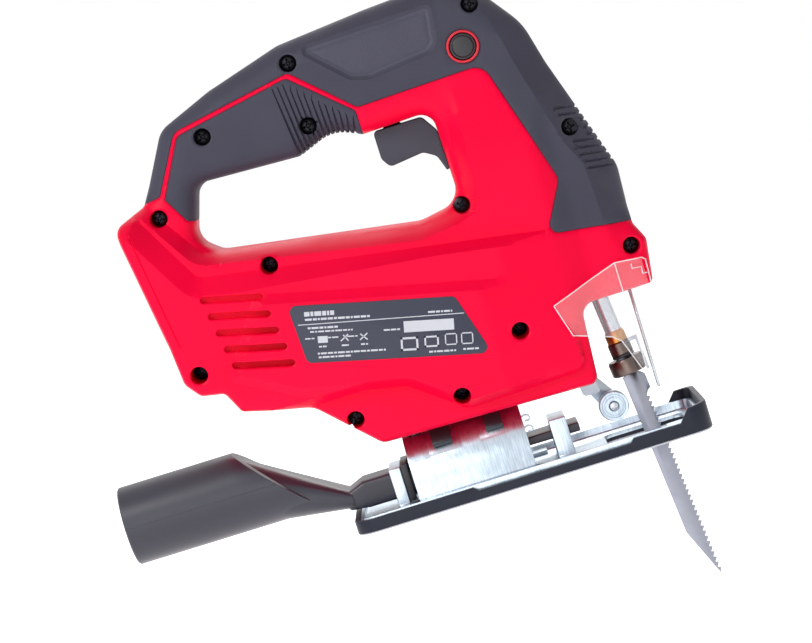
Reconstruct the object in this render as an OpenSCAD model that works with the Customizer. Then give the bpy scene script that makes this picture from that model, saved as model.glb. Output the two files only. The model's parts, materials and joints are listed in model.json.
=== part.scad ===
/* [Housing] */
// Half width of the motor housing at its widest
body_half_w = 34; // [33:0.5:36]
// Half width of the handle
grip_half_w = 17; // [16:0.5:18]
// Half width of the low skirt between the tilting base parts
skirt_half_w = 24; // [23:0.5:24]
// Wall thickness of the moulded shells
wall = 3; // [2.6:0.2:3.2]
// Thickness of the soft grip layer
grip_t = 2.4; // [2:0.2:2.6]
// Radius of the screw recesses
recess_r = 4.05; // [3.9:0.05:4.2]
// Distance from the parting plane to the screw heads
head_y = 10; // [9:0.5:11]

/* [Base] */
// Width of the shoe
shoe_w = 75; // [73:0.5:76]
// Rear end of the shoe
shoe_x0 = -82.5; // [-84:0.5:-82]
// Front end of the shoe
shoe_x1 = 84; // [83:0.5:85]
// Height of the tilt axis above the sole
tilt_z = 14; // [14:0.1:14.4]
// Outer radius of the tunnel bracket
tunnel_r = 19.8; // [19.4:0.1:19.9]
// Half width of the blade opening in the base
slot_half_w = 19.5; // [18.5:0.5:20]

/* [Drive] */
// Lean of the stroke axis from the vertical, in degrees
lean = 5.4; // [5:0.1:5.6]
// Where the stroke axis meets the sole plane
axis_x = 59.7; // [59.5:0.1:60]
// Crank radius, half of the stroke
crank_r = 10; // [9:0.5:10]
// Teeth on the pinion
pinion_teeth = 10; // [10:1:10]
// Teeth on the gear wheel
gear_teeth = 50; // [50:1:50]
// Tooth size, pitch diameter over number of teeth
tooth_m = 0.8; // [0.78:0.01:0.8]
// Radius of the motor can
motor_r = 21; // [19:0.5:21]
// Length of the motor can
motor_l = 56; // [50:1:57]
// Radius of the plunger rod
rod_r = 4; // [3.8:0.1:4.1]

/* [Blade] */
// Width of the saw blade
blade_w = 8.6; // [8:0.1:9]
// Thickness of the saw blade
blade_t = 1.3; // [1:0.1:1.5]
// Tooth pitch of the saw blade
blade_pitch = 2.6; // [2.2:0.1:3]
// How far the blade reaches below the sole
blade_reach = 70; // [66:1:72]

/* [Dust tube] */
// Outer radius of the hose end
tube_r = 18.3; // [18:0.1:18.4]
// Inner radius of the hose end
tube_bore = 16; // [15.5:0.1:16.3]
// Rear end of the tube
tube_x0 = -184; // [-188:1:-182]

/* [Hidden] */
$fn = 48;
eps = 0.01;
gap = 0.3;
run_fit = 0.04;
rotor_z = 98;                       // motor axis, measured along the stroke axis
pitch_p = tooth_m * pinion_teeth / 2;
pitch_g = tooth_m * gear_teeth / 2;
gear_z = rotor_z + pitch_p + pitch_g;
yoke_z = gear_z - 0.8 * crank_r;    // the crank rests low, near bottom dead centre
pin_y = 0.6 * crank_r;
gear_x = -20;
gear_t = 7;
plate_x = -28;
can_x = -44.5;
roller_c = [45, 18.8];
roller_r = 6.9;
pivot_c = [33, 66];
selector_c = [22, 56];
button_c = [27, 195.7];
SCREWS = [[-126.6, 162.3], [-96.9, 191.7], [-50.3, 211.8], [-49.9, 182.4], [35.5, 213],
    [-84.9, 127.9], [-129.3, 90.4], [5.6, 127.9], [62.4, 147], [73.2, 87.8], [14, 66.9],
    [-19.5, 46.7], [-68.6, 49.8]];

// Outlines seen from the side, as [x, z, corner radius]
OUTER = [[-146.5, 163.4, 5], [-132, 169.4, 4], [-115, 200, 12], [-89, 210.5, 30],
    [-53, 221, 12], [-11, 224.8, 60], [34, 227.5, 22], [56, 198, 30], [61, 178, 30],
    [78.5, 124, 16], [77, 97, 3], [80.8, 89, 5], [78, 69, 2.5], [43.5, 69, 6],
    [41, 33.3, 4], [-60, 35.9, 6], [-85, 60.5, 10], [-116, 69, 3], [-121, 79, 3],
    [-131.5, 81, 4], [-137, 88, 5], [-138.4, 105, 10]];
OPENING = [[-113.8, 148, 9], [-106, 172.3, 7], [-57, 170.2, 5], [-46, 176.6, 8],
    [-31, 175.6, 8], [-25, 171.5, 3], [5, 172.3, 7], [5.6, 129, 10], [-14, 125.6, 14],
    [-104, 140, 9]];
ABOVE_SADDLE = [[-160, 170, 0], [-131, 170, 0], [-113, 142, 8], [-16, 124, 12],
    [8, 127, 8], [11, 184, 0], [110, 184, 0], [110, 260, 0], [-160, 260, 0]];
ABOVE_RIDGE = [[-160, 163, 0], [-137, 167, 0], [-117, 132, 6], [0, 112.9, 0], [41, 106, 0],
    [110, 93, 0], [110, 260, 0], [-160, 260, 0]];
UPPER_GRIP = [[-140, 169.2, 0], [-123.3, 171.4, 2], [-108.5, 196, 6], [-52, 206.4, 2],
    [-26.5, 182.3, 3], [33, 185.4, 8], [50.6, 126.5, 6], [40.3, 103.9, 4], [90, 96.6, 0],
    [90, 250, 0], [-140, 250, 0]];
REAR_GRIP = [[-121.5, 169.6, 1], [-107.5, 193.4, 5], [-54, 203.8, 2], [-28.5, 181.5, 3],
    [-27.2, 165, 0], [-100, 150, 0], [-110, 156, 0], [-114.5, 157.5, 1]];
PANEL = [[-95, 117.6, 3], [26, 89, 16], [40, 76, 8], [38, 41, 6], [-18, 39.6, 8],
    [-42, 57.8, 10], [-88, 67, 12], [-118, 84, 4]];
MOTOR_BAY = [[-110, 88, 2], [-86, 74, 2], [-62, 54, 2], [18, 54, 3], [18, 116.6, 3],
    [-36, 116.6, 6], [-108, 126, 6]];
WIDE_BAY = [[-104, 92, 3], [-84, 74, 3], [-42, 64, 3], [-14, 46, 3], [17, 46, 3],
    [17, 87, 3], [-94, 113, 4]];
GEAR_BAY = [[16, 73.5, 2], [39, 73.5, 2], [39, 146, 3], [32, 154, 3], [32, 172, 4],
    [16, 172, 4]];
PLUNGER_BAY = [[30, 73.5, 2], [70, 73.5, 3], [73, 97, 3], [72.5, 122, 8], [58, 168, 8],
    [54, 180, 4], [30, 180, 2]];
GRIP_BAY = [[-122, 160, 4], [-106, 192, 8], [-50, 212, 10], [-10, 217, 20], [32, 219, 12],
    [47, 198, 8], [44, 176, 2], [12, 176, 4], [-20, 176.4, 2], [-46, 181, 8],
    [-60, 175, 4], [-98, 177, 8], [-112, 168, 4], [-117, 140, 2], [-123, 140, 2]];

function unit(v) = v / norm(v);
function arc_at(c, r, a0, sweep, n) = [for (i = [0:n]) c + r * [cos(a0 + sweep * i / n),
    sin(a0 + sweep * i / n)]];
// One corner of an outline, turned into a short arc when its radius isn't zero
function corner(p0, p1, p2, r) = r <= 0 ? [p1] :
    let (d1 = unit(p0 - p1), d2 = unit(p2 - p1), half = acos(d1 * d2) / 2,
        c = p1 + unit(d1 + d2) * r / sin(half), s = p1 + d1 * r / tan(half) - c,
        turn = d1.x * d2.y - d1.y * d2.x, sweep = (turn > 0 ? -1 : 1) * (180 - 2 * half))
    arc_at(c, r, atan2(s.y, s.x), sweep, max(2, ceil((180 - 2 * half) / 15)));
function xz(p) = [p.x, p.y];
function rounded(o) = let (n = len(o)) [for (i = [0:n - 1])
    each corner(xz(o[(i + n - 1) % n]), xz(o[i]), xz(o[(i + 1) % n]), o[i][2])];

// A prism on a side outline, between two distances to the right of the parting plane
module side(o, y0, y1) translate([0, -y0, 0]) rotate([90, 0, 0]) linear_extrude(y1 - y0)
    polygon(rounded(o));
// A round bar along Y, from one distance right of the parting plane to another
module bar_y(c, r, y0, y1) translate([c.x, -y0, c.y]) rotate([90, 0, 0])
    cylinder(r = r, h = y1 - y0);
// A round bar along X
module bar_x(x0, x1, r, y = 0, z = 0) translate([x0, y, z]) rotate([0, 90, 0])
    cylinder(r = r, h = x1 - x0);
module box(lo, hi) translate(lo) cube(hi - lo);
// The drive's own frame: Z runs along the stroke axis, X points forward
module drive() translate([axis_x, 0, 0]) rotate([0, -lean, 0]) children();
module mirrored(left) mirror([0, left ? 1 : 0, 0]) children();

// What the front taper cuts away, seen from above
module taper_cut() translate([0, 0, -1]) linear_extrude(260) polygon([
    [2, -body_half_w], [40, -26], [52, -21], [90, -19], [90, -60], [2, -60]]);
// Outer skin of one half: the outline cut back to the levels of its side surface
module half_skin() difference() {
    side(OUTER, 0, body_half_w);
    side(OPENING, -1, 60);
    side(ABOVE_SADDLE, grip_half_w, 60);
    side(ABOVE_RIDGE, 25, 60);
    taper_cut();
    difference() {
        union() {
            box([-160, -60, 20], [110, -31, 240]);
            box([-160, -60, 20], [110, -skirt_half_w, 64]);
        }
        side(PANEL, 0, 61);
    }
}
// The space outside the hard core that the soft grips fill
module grip_space(o) difference() {
    side(o, grip_half_w - grip_t, 60);
    box([20, -18.5, 90], [90, 1, 182]);
}
module inside_taper(t) difference() {
    children();
    translate([0, t, 0]) taper_cut();
}
module bays() {
    side(MOTOR_BAY, -1, 21.5);
    side(WIDE_BAY, -1, 28);
    inside_taper(wall) side(GEAR_BAY, -1, 21.5);
    side(PLUNGER_BAY, -1, 15.5);
    side(GRIP_BAY, -1, grip_half_w - wall - grip_t);
    box([-123, -9, 108], [-117.4, 1, 165]);
}
// Space behind the rear face where the battery pack slides in from below
module battery_bay() translate([-146, 0, 162]) rotate([0, -6.9, 0]) {
    box([-12, -26, -60], [8, 1, -6]);
    box([-12, -26, -110], [3.2, 1, -59]);
    box([3, -29.5, -110], [6.4, -25, -6]);
}
module vent_slots() for (i = [0:4])
    translate([-118.6 + 1.25 * i, -40, 122.4 - 8.05 * i]) rotate([0, 13.7, 0])
        box([0, 0, -1.45], [27.5, 20, 1.45]);
// Shell of one half with its bays, bosses and openings, drawn for the right side
module half_shell(left) difference() {
    union() {
        difference() {
            half_skin();
            grip_space(UPPER_GRIP);
            grip_space(REAR_GRIP);
            bays();
        }
        for (s = SCREWS) bar_y(s, 4.9, 0, left ? 12 : head_y + 3);
    }
    battery_bay();
    vent_slots();
    for (s = SCREWS) bar_y(s, left ? 1.55 : 2, -1, left ? 9.5 : 60);
    if (!left) for (s = SCREWS) bar_y(s, recess_r, head_y, 60);
    if (!left) bar_y(button_c, 7.4, 8, 60);
    bar_y(button_c, 6.3, -1, 10.5);
    if (left) {
        bar_y(selector_c, 10.6, 25.5, 60);
        bar_y(selector_c, 3.6, -1, 60);
    }
    bar_y(pivot_c, 2.5, -1, 12);
    // ways out for the trigger, the pendulum arm, its cam, the plunger and the tilt clamp
    box([-24, -8, 140], [6.4, 1, 180]);
    box([26, -8.4, 30], [50, 1, 74]);
    box([16.5, -8.4, 50.5], [27.5, 1, 61.5]);
    drive() box([-9.5, -9.5, 60], [9.5, 1, 78]);
    for (x = [-46, -22]) translate([x, 0, 28]) cylinder(r = 3.2, h = 16.4);
}

module right_housing() color("#e8102c") half_shell(false);
module left_housing() color("#e8102c") mirrored(true) half_shell(true);
// Soft layer over one region of the handle, from the outer skin down to the hard core
module grip_skin(o, left = false) difference() {
    intersection() {
        half_skin();
        grip_space(o);
    }
    if (!left) for (s = SCREWS) bar_y(s, recess_r, 0, 60);
    if (!left) bar_y(button_c, 7.4, 0, 60);
}
module right_upper_grip() color("#50525e") grip_skin(UPPER_GRIP);
module left_upper_grip() color("#50525e") mirrored(true) grip_skin(UPPER_GRIP, true);
module right_rear_grip() color("#50525e") grip_skin(REAR_GRIP);
module left_rear_grip() color("#50525e") mirrored(true) grip_skin(REAR_GRIP, true);
module housing_screws() color("#1c1c20") for (s = SCREWS) {
    bar_y(s, 1.5, -9, head_y);
    difference() {
        bar_y(s, 3.7, head_y, head_y + 2.6);
        for (a = [0, 90]) translate([s.x, -head_y - 2.6, s.y]) rotate([0, a + 45, 0])
            cube([4.2, 2.4, 0.8], center = true);
    }
}
module rating_label() color("#3e4050")
    side([[-82.2, 108.6, 3], [-9.5, 90.8, 3], [-0.8, 61.6, 3], [-81, 81.6, 3]],
        body_half_w, body_half_w + 0.4);
module button_ring() color("#c01028") difference() {
    bar_y(button_c, 7.38, 8, grip_half_w + 0.8);
    bar_y(button_c, 6.3, 7, grip_half_w + 2);
}
module lock_button() color("#222226") union() {
    bar_y(button_c, 6.1, grip_half_w - 4, grip_half_w - 0.4);
    bar_y(button_c, 4.7, 0, grip_half_w + 0.6);
}
module switch_body() color("#26262a") difference() {
    box([-20, -9, 179.6], [11, 9, 205]);
    box([-19, -5, 175], [-9, 5, 192]);
    box([4, -4, 182], [8, 4, 190]);
}
// Finger lever that rises into the handle, with a stem into the switch
module trigger() color("#3a3a42") union() {
    translate([0, 7.2, 0]) side([[-23, 171, 2], [-23, 158, 4], [-20, 153.5, 3], [-4, 155.4, 4],
        [1.5, 152, 4], [4, 144.6, 0.6], [5.6, 145, 0.6], [5.2, 163, 5], [0, 171, 3]], 0, 14.4);
    box([-18, -4, 170], [-10, 4, 184]);
}
module terminal_block() color("#202024") translate([-146, 0, 162]) rotate([0, -6.9, 0])
    difference() {
        box([1.6, -14, -56], [8, 14, -36]);
        for (y = [-9, -3.6, 2.4, 7.8]) box([0, y, -60], [6, y + 1.2, -40]);
    }

// Motor, gears and crank, all drawn in the drive's own frame
module motor_can() color("#8f939a") drive() difference() {
    bar_x(can_x - motor_l, can_x, motor_r, 0, rotor_z);
    bar_x(can_x - motor_l - 1, can_x - 1.6, motor_r - 1.6, 0, rotor_z);
    bar_x(can_x - 5, can_x + 1, 8, 0, rotor_z);
}
module motor_magnets() color("#3c3c40") drive() for (a = [0, 180])
    translate([can_x - 42, 0, rotor_z]) rotate([a, 0, 0]) intersection() {
        difference() {
            bar_x(0, 34, motor_r - 1.6);
            bar_x(-1, 35, 15.6);
        }
        rotate([0, 90, 0]) linear_extrude(34) polygon([[0, 0], [-14, 22], [-22, 22],
            [-22, -22], [-14, -22]]);
    }
module motor_end_cap() color("#26262a") drive() difference() {
    bar_x(can_x - motor_l - 6, can_x - motor_l, motor_r, 0, rotor_z);
    bar_x(can_x - motor_l - 4.5, can_x - motor_l + 1, 6.5, 0, rotor_z);
    bar_x(can_x - motor_l - 7, can_x - motor_l, 3, 0, rotor_z);
}
module bearing(x, r_out, r_in, w) translate([x, 0, rotor_z]) rotate([0, 90, 0])
    difference() {
        cylinder(r = r_out, h = w);
        translate([0, 0, -1]) cylinder(r = r_in, h = w + 2);
    }
module motor_bearings() color("#b8bcc2") drive() {
    bearing(plate_x, 7.5, 2.5 + run_fit, 5);
    bearing(can_x - motor_l - 4.5, 6.5, 2.5 + run_fit, 4.4);
}
// Cast plate behind the gear, with two arms that hold the plunger bushes
module gearbox_frame() color("#9a9da2") drive() difference() {
    union() {
        box([plate_x, -19, 88], [plate_x + 5, 19, 160]);
        box([plate_x, -10, 77], [9, 10, 89]);
        box([plate_x, -10, 148], [9, 10, 160]);
    }
    bar_x(plate_x - 1, plate_x + 6, 7.5, 0, rotor_z);
    bar_x(plate_x - 1, plate_x + 6, 4, 0, gear_z);
    translate([0, 0, 70]) cylinder(r = 7, h = 110);
}
module gear_pin() color("#c0c4c8") drive() bar_x(plate_x, gear_x + gear_t - 0.6, 4, 0, gear_z);
module bush(z) translate([0, 0, z]) difference() {
    cylinder(r = 7, h = 12);
    translate([0, 0, -1]) cylinder(r = rod_r + run_fit, h = 14);
}
module plunger_bushes() color("#b08d57") drive() for (z = [77, 148]) bush(z);
module motor_shaft() color("#c8ccd0") drive()
    bar_x(can_x - motor_l - 4.4, gear_x + gear_t, 2.5, 0, rotor_z);
module armature_core() color("#6a6e74") drive() difference() {
    union() {
        bar_x(can_x - 40, can_x - 10, 14.8, 0, rotor_z);
        bar_x(can_x - 44, can_x - 6, 11, 0, rotor_z);
    }
    bar_x(can_x - 50, can_x, 2.5, 0, rotor_z);
    for (i = [0:11]) translate([0, 0, rotor_z]) rotate([30 * i, 0, 0])
        box([can_x - 41, -0.9, 11.5], [can_x - 9, 0.9, 16]);
}
module commutator() color("#b87333") drive() difference() {
    bar_x(can_x - 53, can_x - 44.2, 5.5, 0, rotor_z);
    bar_x(can_x - 54, can_x - 40, 2.5, 0, rotor_z);
}
module motor_fan() color("#2a2a2e") drive() difference() {
    union() {
        bar_x(can_x + 1, can_x + 9, 6, 0, rotor_z);
        bar_x(can_x + 1, can_x + 2.6, 19, 0, rotor_z);
        for (i = [0:11]) translate([0, 0, rotor_z]) rotate([30 * i, 0, 0])
            box([can_x + 1, -0.7, 5], [can_x + 9, 0.7, 18.6]);
    }
    bar_x(can_x - 1, can_x + 12, 2.5, 0, rotor_z);
}
// Outline of a spur gear with straight-sided teeth and a little backlash
function gear_outline(n, m, turn = 0) = [for (i = [0:n - 1], k = [[-0.31, -1.15],
    [-0.12, 0.8], [0.12, 0.8], [0.31, -1.15]])
    let (r = m * n / 2 + k[1] * m, a = turn + 360 * (i + k[0]) / n) r * [cos(a), sin(a)]];
module gear_body(n, m, h, bore, turn = 0) rotate([0, 90, 0]) difference() {
    linear_extrude(h) polygon(gear_outline(n, m, turn));
    translate([0, 0, -1]) cylinder(r = bore, h = h + 2);
}
module pinion() color("#aab0b6") drive() translate([gear_x - 1, 0, rotor_z])
    gear_body(pinion_teeth, tooth_m, gear_t + 1, 2.5, 180 / pinion_teeth);
module gear_wheel() color("#8e949a") drive() translate([gear_x, 0, gear_z]) difference() {
    gear_body(gear_teeth, tooth_m, gear_t, 4 + run_fit);
    rotate([0, 90, 0]) for (i = [0:3]) rotate(45 + 72 * i) translate([12, 0, -1])
        cylinder(r = 3.2, h = gear_t + 2);
    bar_x(-1, gear_t + 1, 2.5, -pin_y, yoke_z - gear_z);
}
module crank_pin() color("#c8ccd0") drive()
    bar_x(gear_x, -7.6, 2.5, -pin_y, yoke_z);
module plunger_rod() color("#a8acb4") drive() translate([0, 0, 46.6])
    cylinder(r = rod_r, h = 114);
module scotch_yoke() color("#84888e") drive() difference() {
    box([-7, -14.4, yoke_z - 8], [5, 14.4, yoke_z + 8]);
    box([-8, -12.7, yoke_z - 3], [-4.2, 12.7, yoke_z + 3]);
    translate([0, 0, yoke_z - 10]) cylinder(r = rod_r, h = 20);
}
module blade_holder() color("#8a8c92") drive() difference() {
    translate([0, 0, 31.2]) cylinder(r = 4.1, h = 15.4);
    translate([0, 0, 30]) cylinder(r = 3.1, h = 13);
}
module clamp_spring() color("#b87a38") drive() translate([0, 0, 46.6]) difference() {
    cylinder(r = 5.2, h = 5.6);
    translate([0, 0, -1]) cylinder(r = rod_r, h = 8);
    box([-7, -2, -1], [0, 2, 8]);
}
module seal_ring() color("#1c1c20") drive() translate([0, 0, 39.2])
    rotate_extrude() translate([4.1, 0]) square([1.1, 1.4]);
module ejector_strip() color("#8c9098") drive() difference() {
    box([0, -2.2, 30], [8.9, 2.2, 46.4]);
    box([-1, -3, 29], [7.8, 3, 44.8]);
    translate([0, 0, 44]) cylinder(r = 4.1, h = 4);
}
module clamp_collar() color("#6a5c58") drive() translate([0, 0, 31.2]) rotate_extrude()
    polygon([[4.1 + run_fit, 0], [6.9, 0], [7.5, 0.6], [7.5, 6.6], [6.9, 7.4],
        [4.1 + run_fit, 7.4]]);
// Blade outline in the drive's frame: shank, flat back, toothed front and slanted tip
function blade_teeth(z0, z1) = [for (i = [0:floor((z1 - z0) / blade_pitch)], k = [0, 1])
    [blade_w / 2 - (k == 0 ? 0 : 1.5), z0 + i * blade_pitch + (k == 0 ? 0 : 0.5)]];
module saw_blade() color("#9a9cae") drive() translate([0, blade_t / 2, 0])
    rotate([90, 0, 0]) linear_extrude(blade_t) polygon(concat(
        [[blade_w / 2 - 1, -blade_reach - 0.6]], blade_teeth(2 - blade_reach, 20),
        [[blade_w / 2, 20.8], [blade_w / 2 + 1.6, 21.6], [blade_w / 2 + 1.6, 28.4],
         [blade_w / 2, 30], [2.4, 30.8], [2.4, 38], [3, 38], [3, 41], [2, 42], [-2, 42],
         [-3, 41], [-3, 38], [-2.4, 38], [-2.4, 30.8], [-blade_w / 2, 30],
         [-blade_w / 2, 23 - blade_reach]]));

// Pendulum arm: a lever that hangs from the pivot and carries the roller on one cheek
module pendulum_arm() color("#7c8088") difference() {
    union() {
        translate([0, 4, 0]) side([[27.5, 70, 3], [38, 70, 3], [40, 36, 3], [41, 27, 1],
            [33, 27, 2]], 0, 8);
        translate([0, 6, 0]) side([[33, 33, 2], [41.5, 33, 2], [49, 22, 3], [48, 15, 2],
            [42, 15, 2]], 0, 2);
        translate([0, 4.9, 0]) side([[33, 33, 1], [40, 33, 1], [39.5, 27.2, 1],
            [35, 27.2, 1]], 0, 2);
    }
    bar_y(pivot_c, 2.5 + run_fit, -10, 10);
    bar_y(roller_c, 2, -10, 10);
}
module pendulum_pin() color("#c0c4c8") bar_y(pivot_c, 2.5, -12, 12);
module roller_pin() color("#c0c4c8") bar_y(roller_c, 2, -6, 4.4);
module support_roller() color("#b9bdc4") difference() {
    union() {
        for (y = [-3.6, 0.9]) bar_y(roller_c, roller_r, y, y + 2.7);
        bar_y(roller_c, 4.6, -3.6, 3.6);
    }
    bar_y(roller_c, 2 + run_fit, -10, 10);
}
module selector_knob() color("#2a2a2e") mirrored(true) union() {
    bar_y(selector_c, 10.2, 25.8, 30.5);
    translate([selector_c.x, 0, selector_c.y]) rotate([0, 30, 0])
        box([-9.5, -34.5, -2.4], [9.5, -30, 2.4]);
}
module selector_cam() color("#8c9096") mirrored(true) difference() {
    union() {
        bar_y(selector_c, 3.56, 8, 25.8);
        bar_y(selector_c, 5, -4, 8);
    }
    box([selector_c.x + 2.4, -7.6, 40], [selector_c.x + 9, 4.6, 70]);
}

// Clear guard: two flared cheeks joined by a front wall
module guard_side(y, t) side([[31.5, 73, 1], [63.8, 83, 1], [77.6, 81.5, 2], [76.6, 66, 1],
    [70.6, 30.4, 2], [63, 32.5, 3], [56, 49, 3], [52, 52, 3], [37, 57.6, 3]], y, y + t);
module chip_guard() color("#d8e4ea", 0.5) difference() {
    intersection() {
        union() {
            guard_side(0, 40);
            mirror([0, 1, 0]) guard_side(0, 40);
        }
        linear_extrude(120) polygon([[30, -30.2], [40, -27.8], [52, -23], [74, -21.9],
            [78, -18], [78, 18], [74, 21.9], [52, 23], [40, 27.8], [30, 30.2]]);
    }
    translate([0, 0, -1]) linear_extrude(122) polygon([[29, -28.8], [40, -26.4], [52, -21.4],
        [67, -20.4], [67, 20.4], [52, 21.4], [40, 26.4], [29, 28.8]]);
    translate([0, 30, 0]) side([[60, 70, 1], [75.2, 66, 1], [69, 31.5, 2], [69, 20, 1],
        [50, 20, 1]], 9.6, 50.4);
    side(OUTER, -20.4, 20.4);
    for (y = [-2.4, 2.4]) translate([67.4, y, 60]) cylinder(r = 1, h = 12);
}
module wire_guard() color("#b0b4ba") for (y = [-2.4, 2.4]) union() {
    translate([67.4, y, 22]) cylinder(r = 0.7, h = 47);
    translate([67.4, y, 22]) sphere(r = 0.7);
}

// Base parts that tilt about the long axis
module arc_strip(x0, x1, r0, r1, a) translate([x0, 0, tilt_z]) rotate([0, 90, 0])
    difference() {
        cylinder(r = r1, h = x1 - x0, $fn = 96);
        translate([0, 0, -1]) cylinder(r = r0, h = x1 - x0 + 2, $fn = 96);
        for (s = [-1, 1]) rotate(-s * a) translate([-80, s > 0 ? 0 : -80, -2])
            cube([160, 80, x1 - x0 + 4]);
    }
module saddle_lugs() color("#1e1e22") for (x = [[-39, -30], [-14, -6]]) difference() {
    arc_strip(x[0], x[1], tunnel_r + gap, 23.5, 52);
    side(OUTER, -30, 30);
    box([-60, -9, 30], [20, 9, 60]);
}
module clamp_strip() color("#80848a") difference() {
    arc_strip(-51, -16, 14.6, 17.9, 26);
    for (x = [-46, -22]) translate([x, 0, 20]) cylinder(r = 3, h = 20);
}
module clamp_bolts() color("#b0b4ba") for (x = [-46, -22])
    translate([x, 0, 29]) cylinder(r = 3, h = 15);
module opening_cut(x0 = 37) translate([0, 0, -5]) linear_extrude(30) polygon(rounded(
    [[x0, -slot_half_w, 5], [74.5, -slot_half_w, 5], [74.5, slot_half_w, 5],
     [x0, slot_half_w, 5]]));
module plan_plate(inset, z0, z1, r) translate([0, 0, z0]) linear_extrude(z1 - z0)
    polygon(rounded([[shoe_x0 + inset, -shoe_w / 2 + inset, r],
        [shoe_x1 - inset, -shoe_w / 2 + inset, r], [shoe_x1 - inset, shoe_w / 2 - inset, r],
        [shoe_x0 + inset, shoe_w / 2 - inset, r]]));
module glide_shoe() color("#3a3c4a") difference() {
    plan_plate(0, 0.8, 13.8, 9);
    plan_plate(2.4, 2.4, 20, 7);
    opening_cut();
    // the side walls step down in height behind the nose
    translate([0, 50, 0]) side([[-100, 6.6, 0], [-27, 6.6, 0], [-25, 4.6, 0], [46, 4.6, 0],
        [48, 6.6, 0], [70, 6.6, 0], [75, 12.4, 1], [90, 13.4, 0], [90, 40, 0],
        [-100, 40, 0]], 0, 100);
}
module sole_strip() color("#c8ccd0") difference() {
    plan_plate(0.4, 0, 0.8, 8.6);
    opening_cut();
}
module base_plate() color("#b8c4cc") difference() {
    union() {
        plan_plate(2.7, 2.4, 4.2, 6.7);
        difference() {
            plan_plate(2.7, 2.4, 9, 6.7);
            plan_plate(4.4, 2, 20, 5);
            box([-100, -50, 6.4], [-78, 50, 20]);
            box([60, -50, 8], [100, 50, 20]);
            box([-100, -50, 7.2], [64, 50, 20]);
        }
    }
    opening_cut();
}
module tunnel_bracket() color("#b4c0c8") difference() {
    union() {
        translate([-52, 0, tilt_z]) rotate([0, 90, 0]) cylinder(r = tunnel_r, h = 55, $fn = 96);
        box([-52, -tunnel_r, 4.2], [3, tunnel_r, tilt_z]);
        box([-56, -28, 4.2], [10, 28, 6]);
    }
    translate([-60, 0, tilt_z]) rotate([0, 90, 0])
        cylinder(r = tunnel_r - 1.7, h = 80, $fn = 96);
    box([-60, -tunnel_r + 1.7, -10], [20, tunnel_r - 1.7, tilt_z]);
    box([-60, -30, -10], [20, 30, 4.2]);
    // arc slots let the clamp bolts pass at any tilt
    for (x = [-46, -22]) box([x - 3.5, -30, tilt_z + 9.6], [x + 3.5, 30, 50]);
}
// Spring steel saddle over the dust channel
module saddle_clip(x0, x1, w, h) difference() {
    union() {
        box([x0, -w, 4.2], [x1, w, h]);
        box([x0, -w - 5, 4.2], [x1, w + 5, 5.2]);
    }
    box([x0 - 1, -w + 1, 3], [x1 + 1, w - 1, h - 1]);
}
module rear_clip() color("#b4c0c8") saddle_clip(-62, -56.5, 14.2, 22.4);
module front_clip() color("#b4c0c8") saddle_clip(14, 22, 14.2, 22.4);
module tube_gasket() color("#1c1c20") difference() {
    box([-56.3, -15, 6.2], [-53, 15, 23.4]);
    box([-58, -12.8, 5], [-50, 12.8, 21.2]);
}
module spring_hook() color("#a0a4aa") for (y = [-16, -13.4]) union() {
    translate([5, y, 4.2]) cylinder(r = 0.7, h = 19.8);
    translate([5, y, 24]) sphere(r = 0.7);
}
// Hose end behind the shoe and the flat channel that runs forward through the tunnel
module dust_tube() color("#18181c") difference() {
    union() {
        bar_x(tube_x0, -129, tube_r, 0, 31.4);
        intersection() {
            bar_x(-130, -60, tube_r, 0, 31.4);
            side([[-130, 60, 0], [-127, 49.5, 0], [-62, 21, 0], [-62, 6, 0], [-130, 6, 0]],
                -30, 30);
        }
        translate([0, 12, 0]) side([[-104, 44, 0], [-72, 21, 6], [2, 21, 1], [2, 18, 0],
            [27, 18, 1], [27, 13.4, 1], [2, 13.4, 0], [2, 8, 0], [-70, 8, 4], [-90, 13, 4],
            [-104, 14, 0]], 0, 24);
    }
    bar_x(tube_x0 - 1, -130, tube_bore, 0, 31.4);
    intersection() {
        bar_x(-131, -60, tube_bore - 0.6, 0, 31.4);
        side([[-135, 56, 0], [-128, 46, 0], [-66, 19, 0], [-66, 9, 0], [-135, 9, 0]], -30, 30);
    }
    translate([0, 10.4, 0]) side([[-106, 40, 0], [-73, 19.4, 6], [0.4, 19.4, 0],
        [0.4, 16.5, 0], [28, 16.5, 0], [28, 14.9, 0], [0.4, 14.9, 0], [0.4, 9.6, 0],
        [-70, 9.6, 4], [-88, 14, 4], [-106, 17, 0]], 0, 20.8);
}

right_housing();
left_housing();
right_upper_grip();
left_upper_grip();
right_rear_grip();
left_rear_grip();
housing_screws();
rating_label();
button_ring();
switch_body();
terminal_block();
motor_can();
motor_magnets();
motor_end_cap();
motor_bearings();
gearbox_frame();
gear_pin();
plunger_bushes();
pendulum_pin();
saddle_lugs();
clamp_strip();
clamp_bolts();
chip_guard();
wire_guard();
lock_button();
trigger();
selector_knob();
selector_cam();
armature_core();
motor_shaft();
commutator();
motor_fan();
pinion();
gear_wheel();
crank_pin();
plunger_rod();
scotch_yoke();
blade_holder();
clamp_spring();
seal_ring();
ejector_strip();
saw_blade();
clamp_collar();
pendulum_arm();
roller_pin();
support_roller();
glide_shoe();
sole_strip();
base_plate();
tunnel_bracket();
rear_clip();
front_clip();
tube_gasket();
spring_hook();
dust_tube();
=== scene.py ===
import json
import math

import bmesh
import bpy
import numpy as np
from mathutils import Matrix, Vector
from mathutils.geometry import delaunay_2d_cdt

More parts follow.
